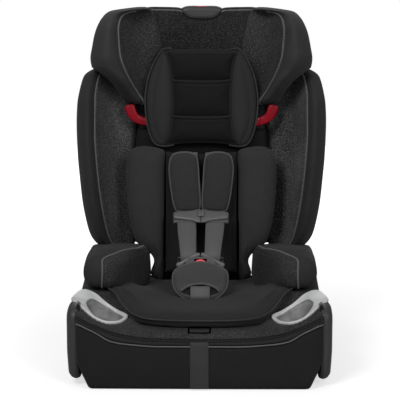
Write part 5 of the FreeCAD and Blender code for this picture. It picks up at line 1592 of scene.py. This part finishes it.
def studio_floor():
    """A pale floor that brightens away from the seat, so that its far edge isn't seen."""
    floor_size, just_below = 4.0, -0.0005
    near_seat, far_off, dim, full = 0.30, 1.2, 0.66, 1.0
    bpy.ops.mesh.primitive_plane_add(size=floor_size, location=(0, 0, just_below))
    floor = bpy.context.object
    floor.name = "studio_floor"
    finish = Finish("studio_floor", (0.5, 0.5, 0.5), 0.9)
    finish.colour(finish.noise(0.6, 2.0), (0.48, 0.48, 0.48), (0.52, 0.52, 0.52))
    away = finish.node("VectorMath", {0: finish.spot}, operation="LENGTH").outputs["Value"]
    glow = finish.spread(away, near_seat, far_off, dim, full)
    seen_floor = finish.node("LightPath").outputs["Is Camera Ray"]
    strength = finish.math("MULTIPLY", glow, seen_floor)
    finish.tree.links.new(strength, finish.shader.inputs["Emission Strength"])
    finish.shader.inputs["Emission Color"].default_value = (1, 1, 1, 1)
    floor.data.materials.append(finish.material)


def studio_sky():
    """A white backdrop that lights the seat only a little."""
    on_the_seat, behind_it = 0.15, 1.0
    world = bpy.data.worlds.new("studio")
    bpy.context.scene.world = world
    world.use_nodes = True
    sky = world.node_tree.nodes["Background"]
    seen = world.node_tree.nodes.new("ShaderNodeLightPath")
    level = world.node_tree.nodes.new("ShaderNodeMapRange")
    level.inputs["To Min"].default_value = on_the_seat
    level.inputs["To Max"].default_value = behind_it
    world.node_tree.links.new(seen.outputs["Is Camera Ray"], level.inputs["Value"])
    world.node_tree.links.new(level.outputs[0], sky.inputs["Strength"])
    sky.inputs["Color"].default_value = (1, 1, 1, 1)


def studio_lights():
    """Four soft lights round the seat, each with its place, its size and its power."""
    middle = Vector((0, 0, 0.32))
    for name, place, size, power in (
        ("key_light", (-1.1, -2.1, 2.3), 1.0, 44.0),
        ("fill_light", (1.4, -2.2, 1.7), 1.2, 26.0),
        ("top_light", (0.0, 0.1, 2.6), 2.2, 9.0),
        ("back_light", (0.0, 2.2, 1.4), 1.8, 9.0),
    ):
        lamp = bpy.data.lights.new(name, "AREA")
        lamp.size = size
        lamp.energy = power
        made = bpy.data.objects.new(name, lamp)
        made.location = place
        made.rotation_euler = (middle - Vector(place)).to_track_quat("-Z", "Y").to_euler()
        bpy.context.scene.collection.objects.link(made)


def camera():
    """A long lens, 3.6 m away and 12 degrees up, as in a catalogue view."""
    reach, raised, turned = 3.6, math.radians(12), math.radians(-0.64)
    aim = Vector((0, 0, 0.320))
    away = Vector((
        -math.sin(turned) * math.cos(raised), -math.cos(turned) * math.cos(raised), math.sin(raised)
    ))
    lens = bpy.data.cameras.new("catalogue_view")
    lens.lens = 180
    lens.sensor_width = 36
    lens.shift_x = -0.0018
    lens.shift_y = -0.045
    made = bpy.data.objects.new("catalogue_view", lens)
    made.location = aim + away * reach
    made.rotation_euler = (-away).to_track_quat("-Z", "Y").to_euler()
    bpy.context.scene.collection.objects.link(made)
    bpy.context.scene.camera = made


studio_floor()
studio_sky()
studio_lights()
bpy.context.scene.view_settings.view_transform = "Standard"
camera()
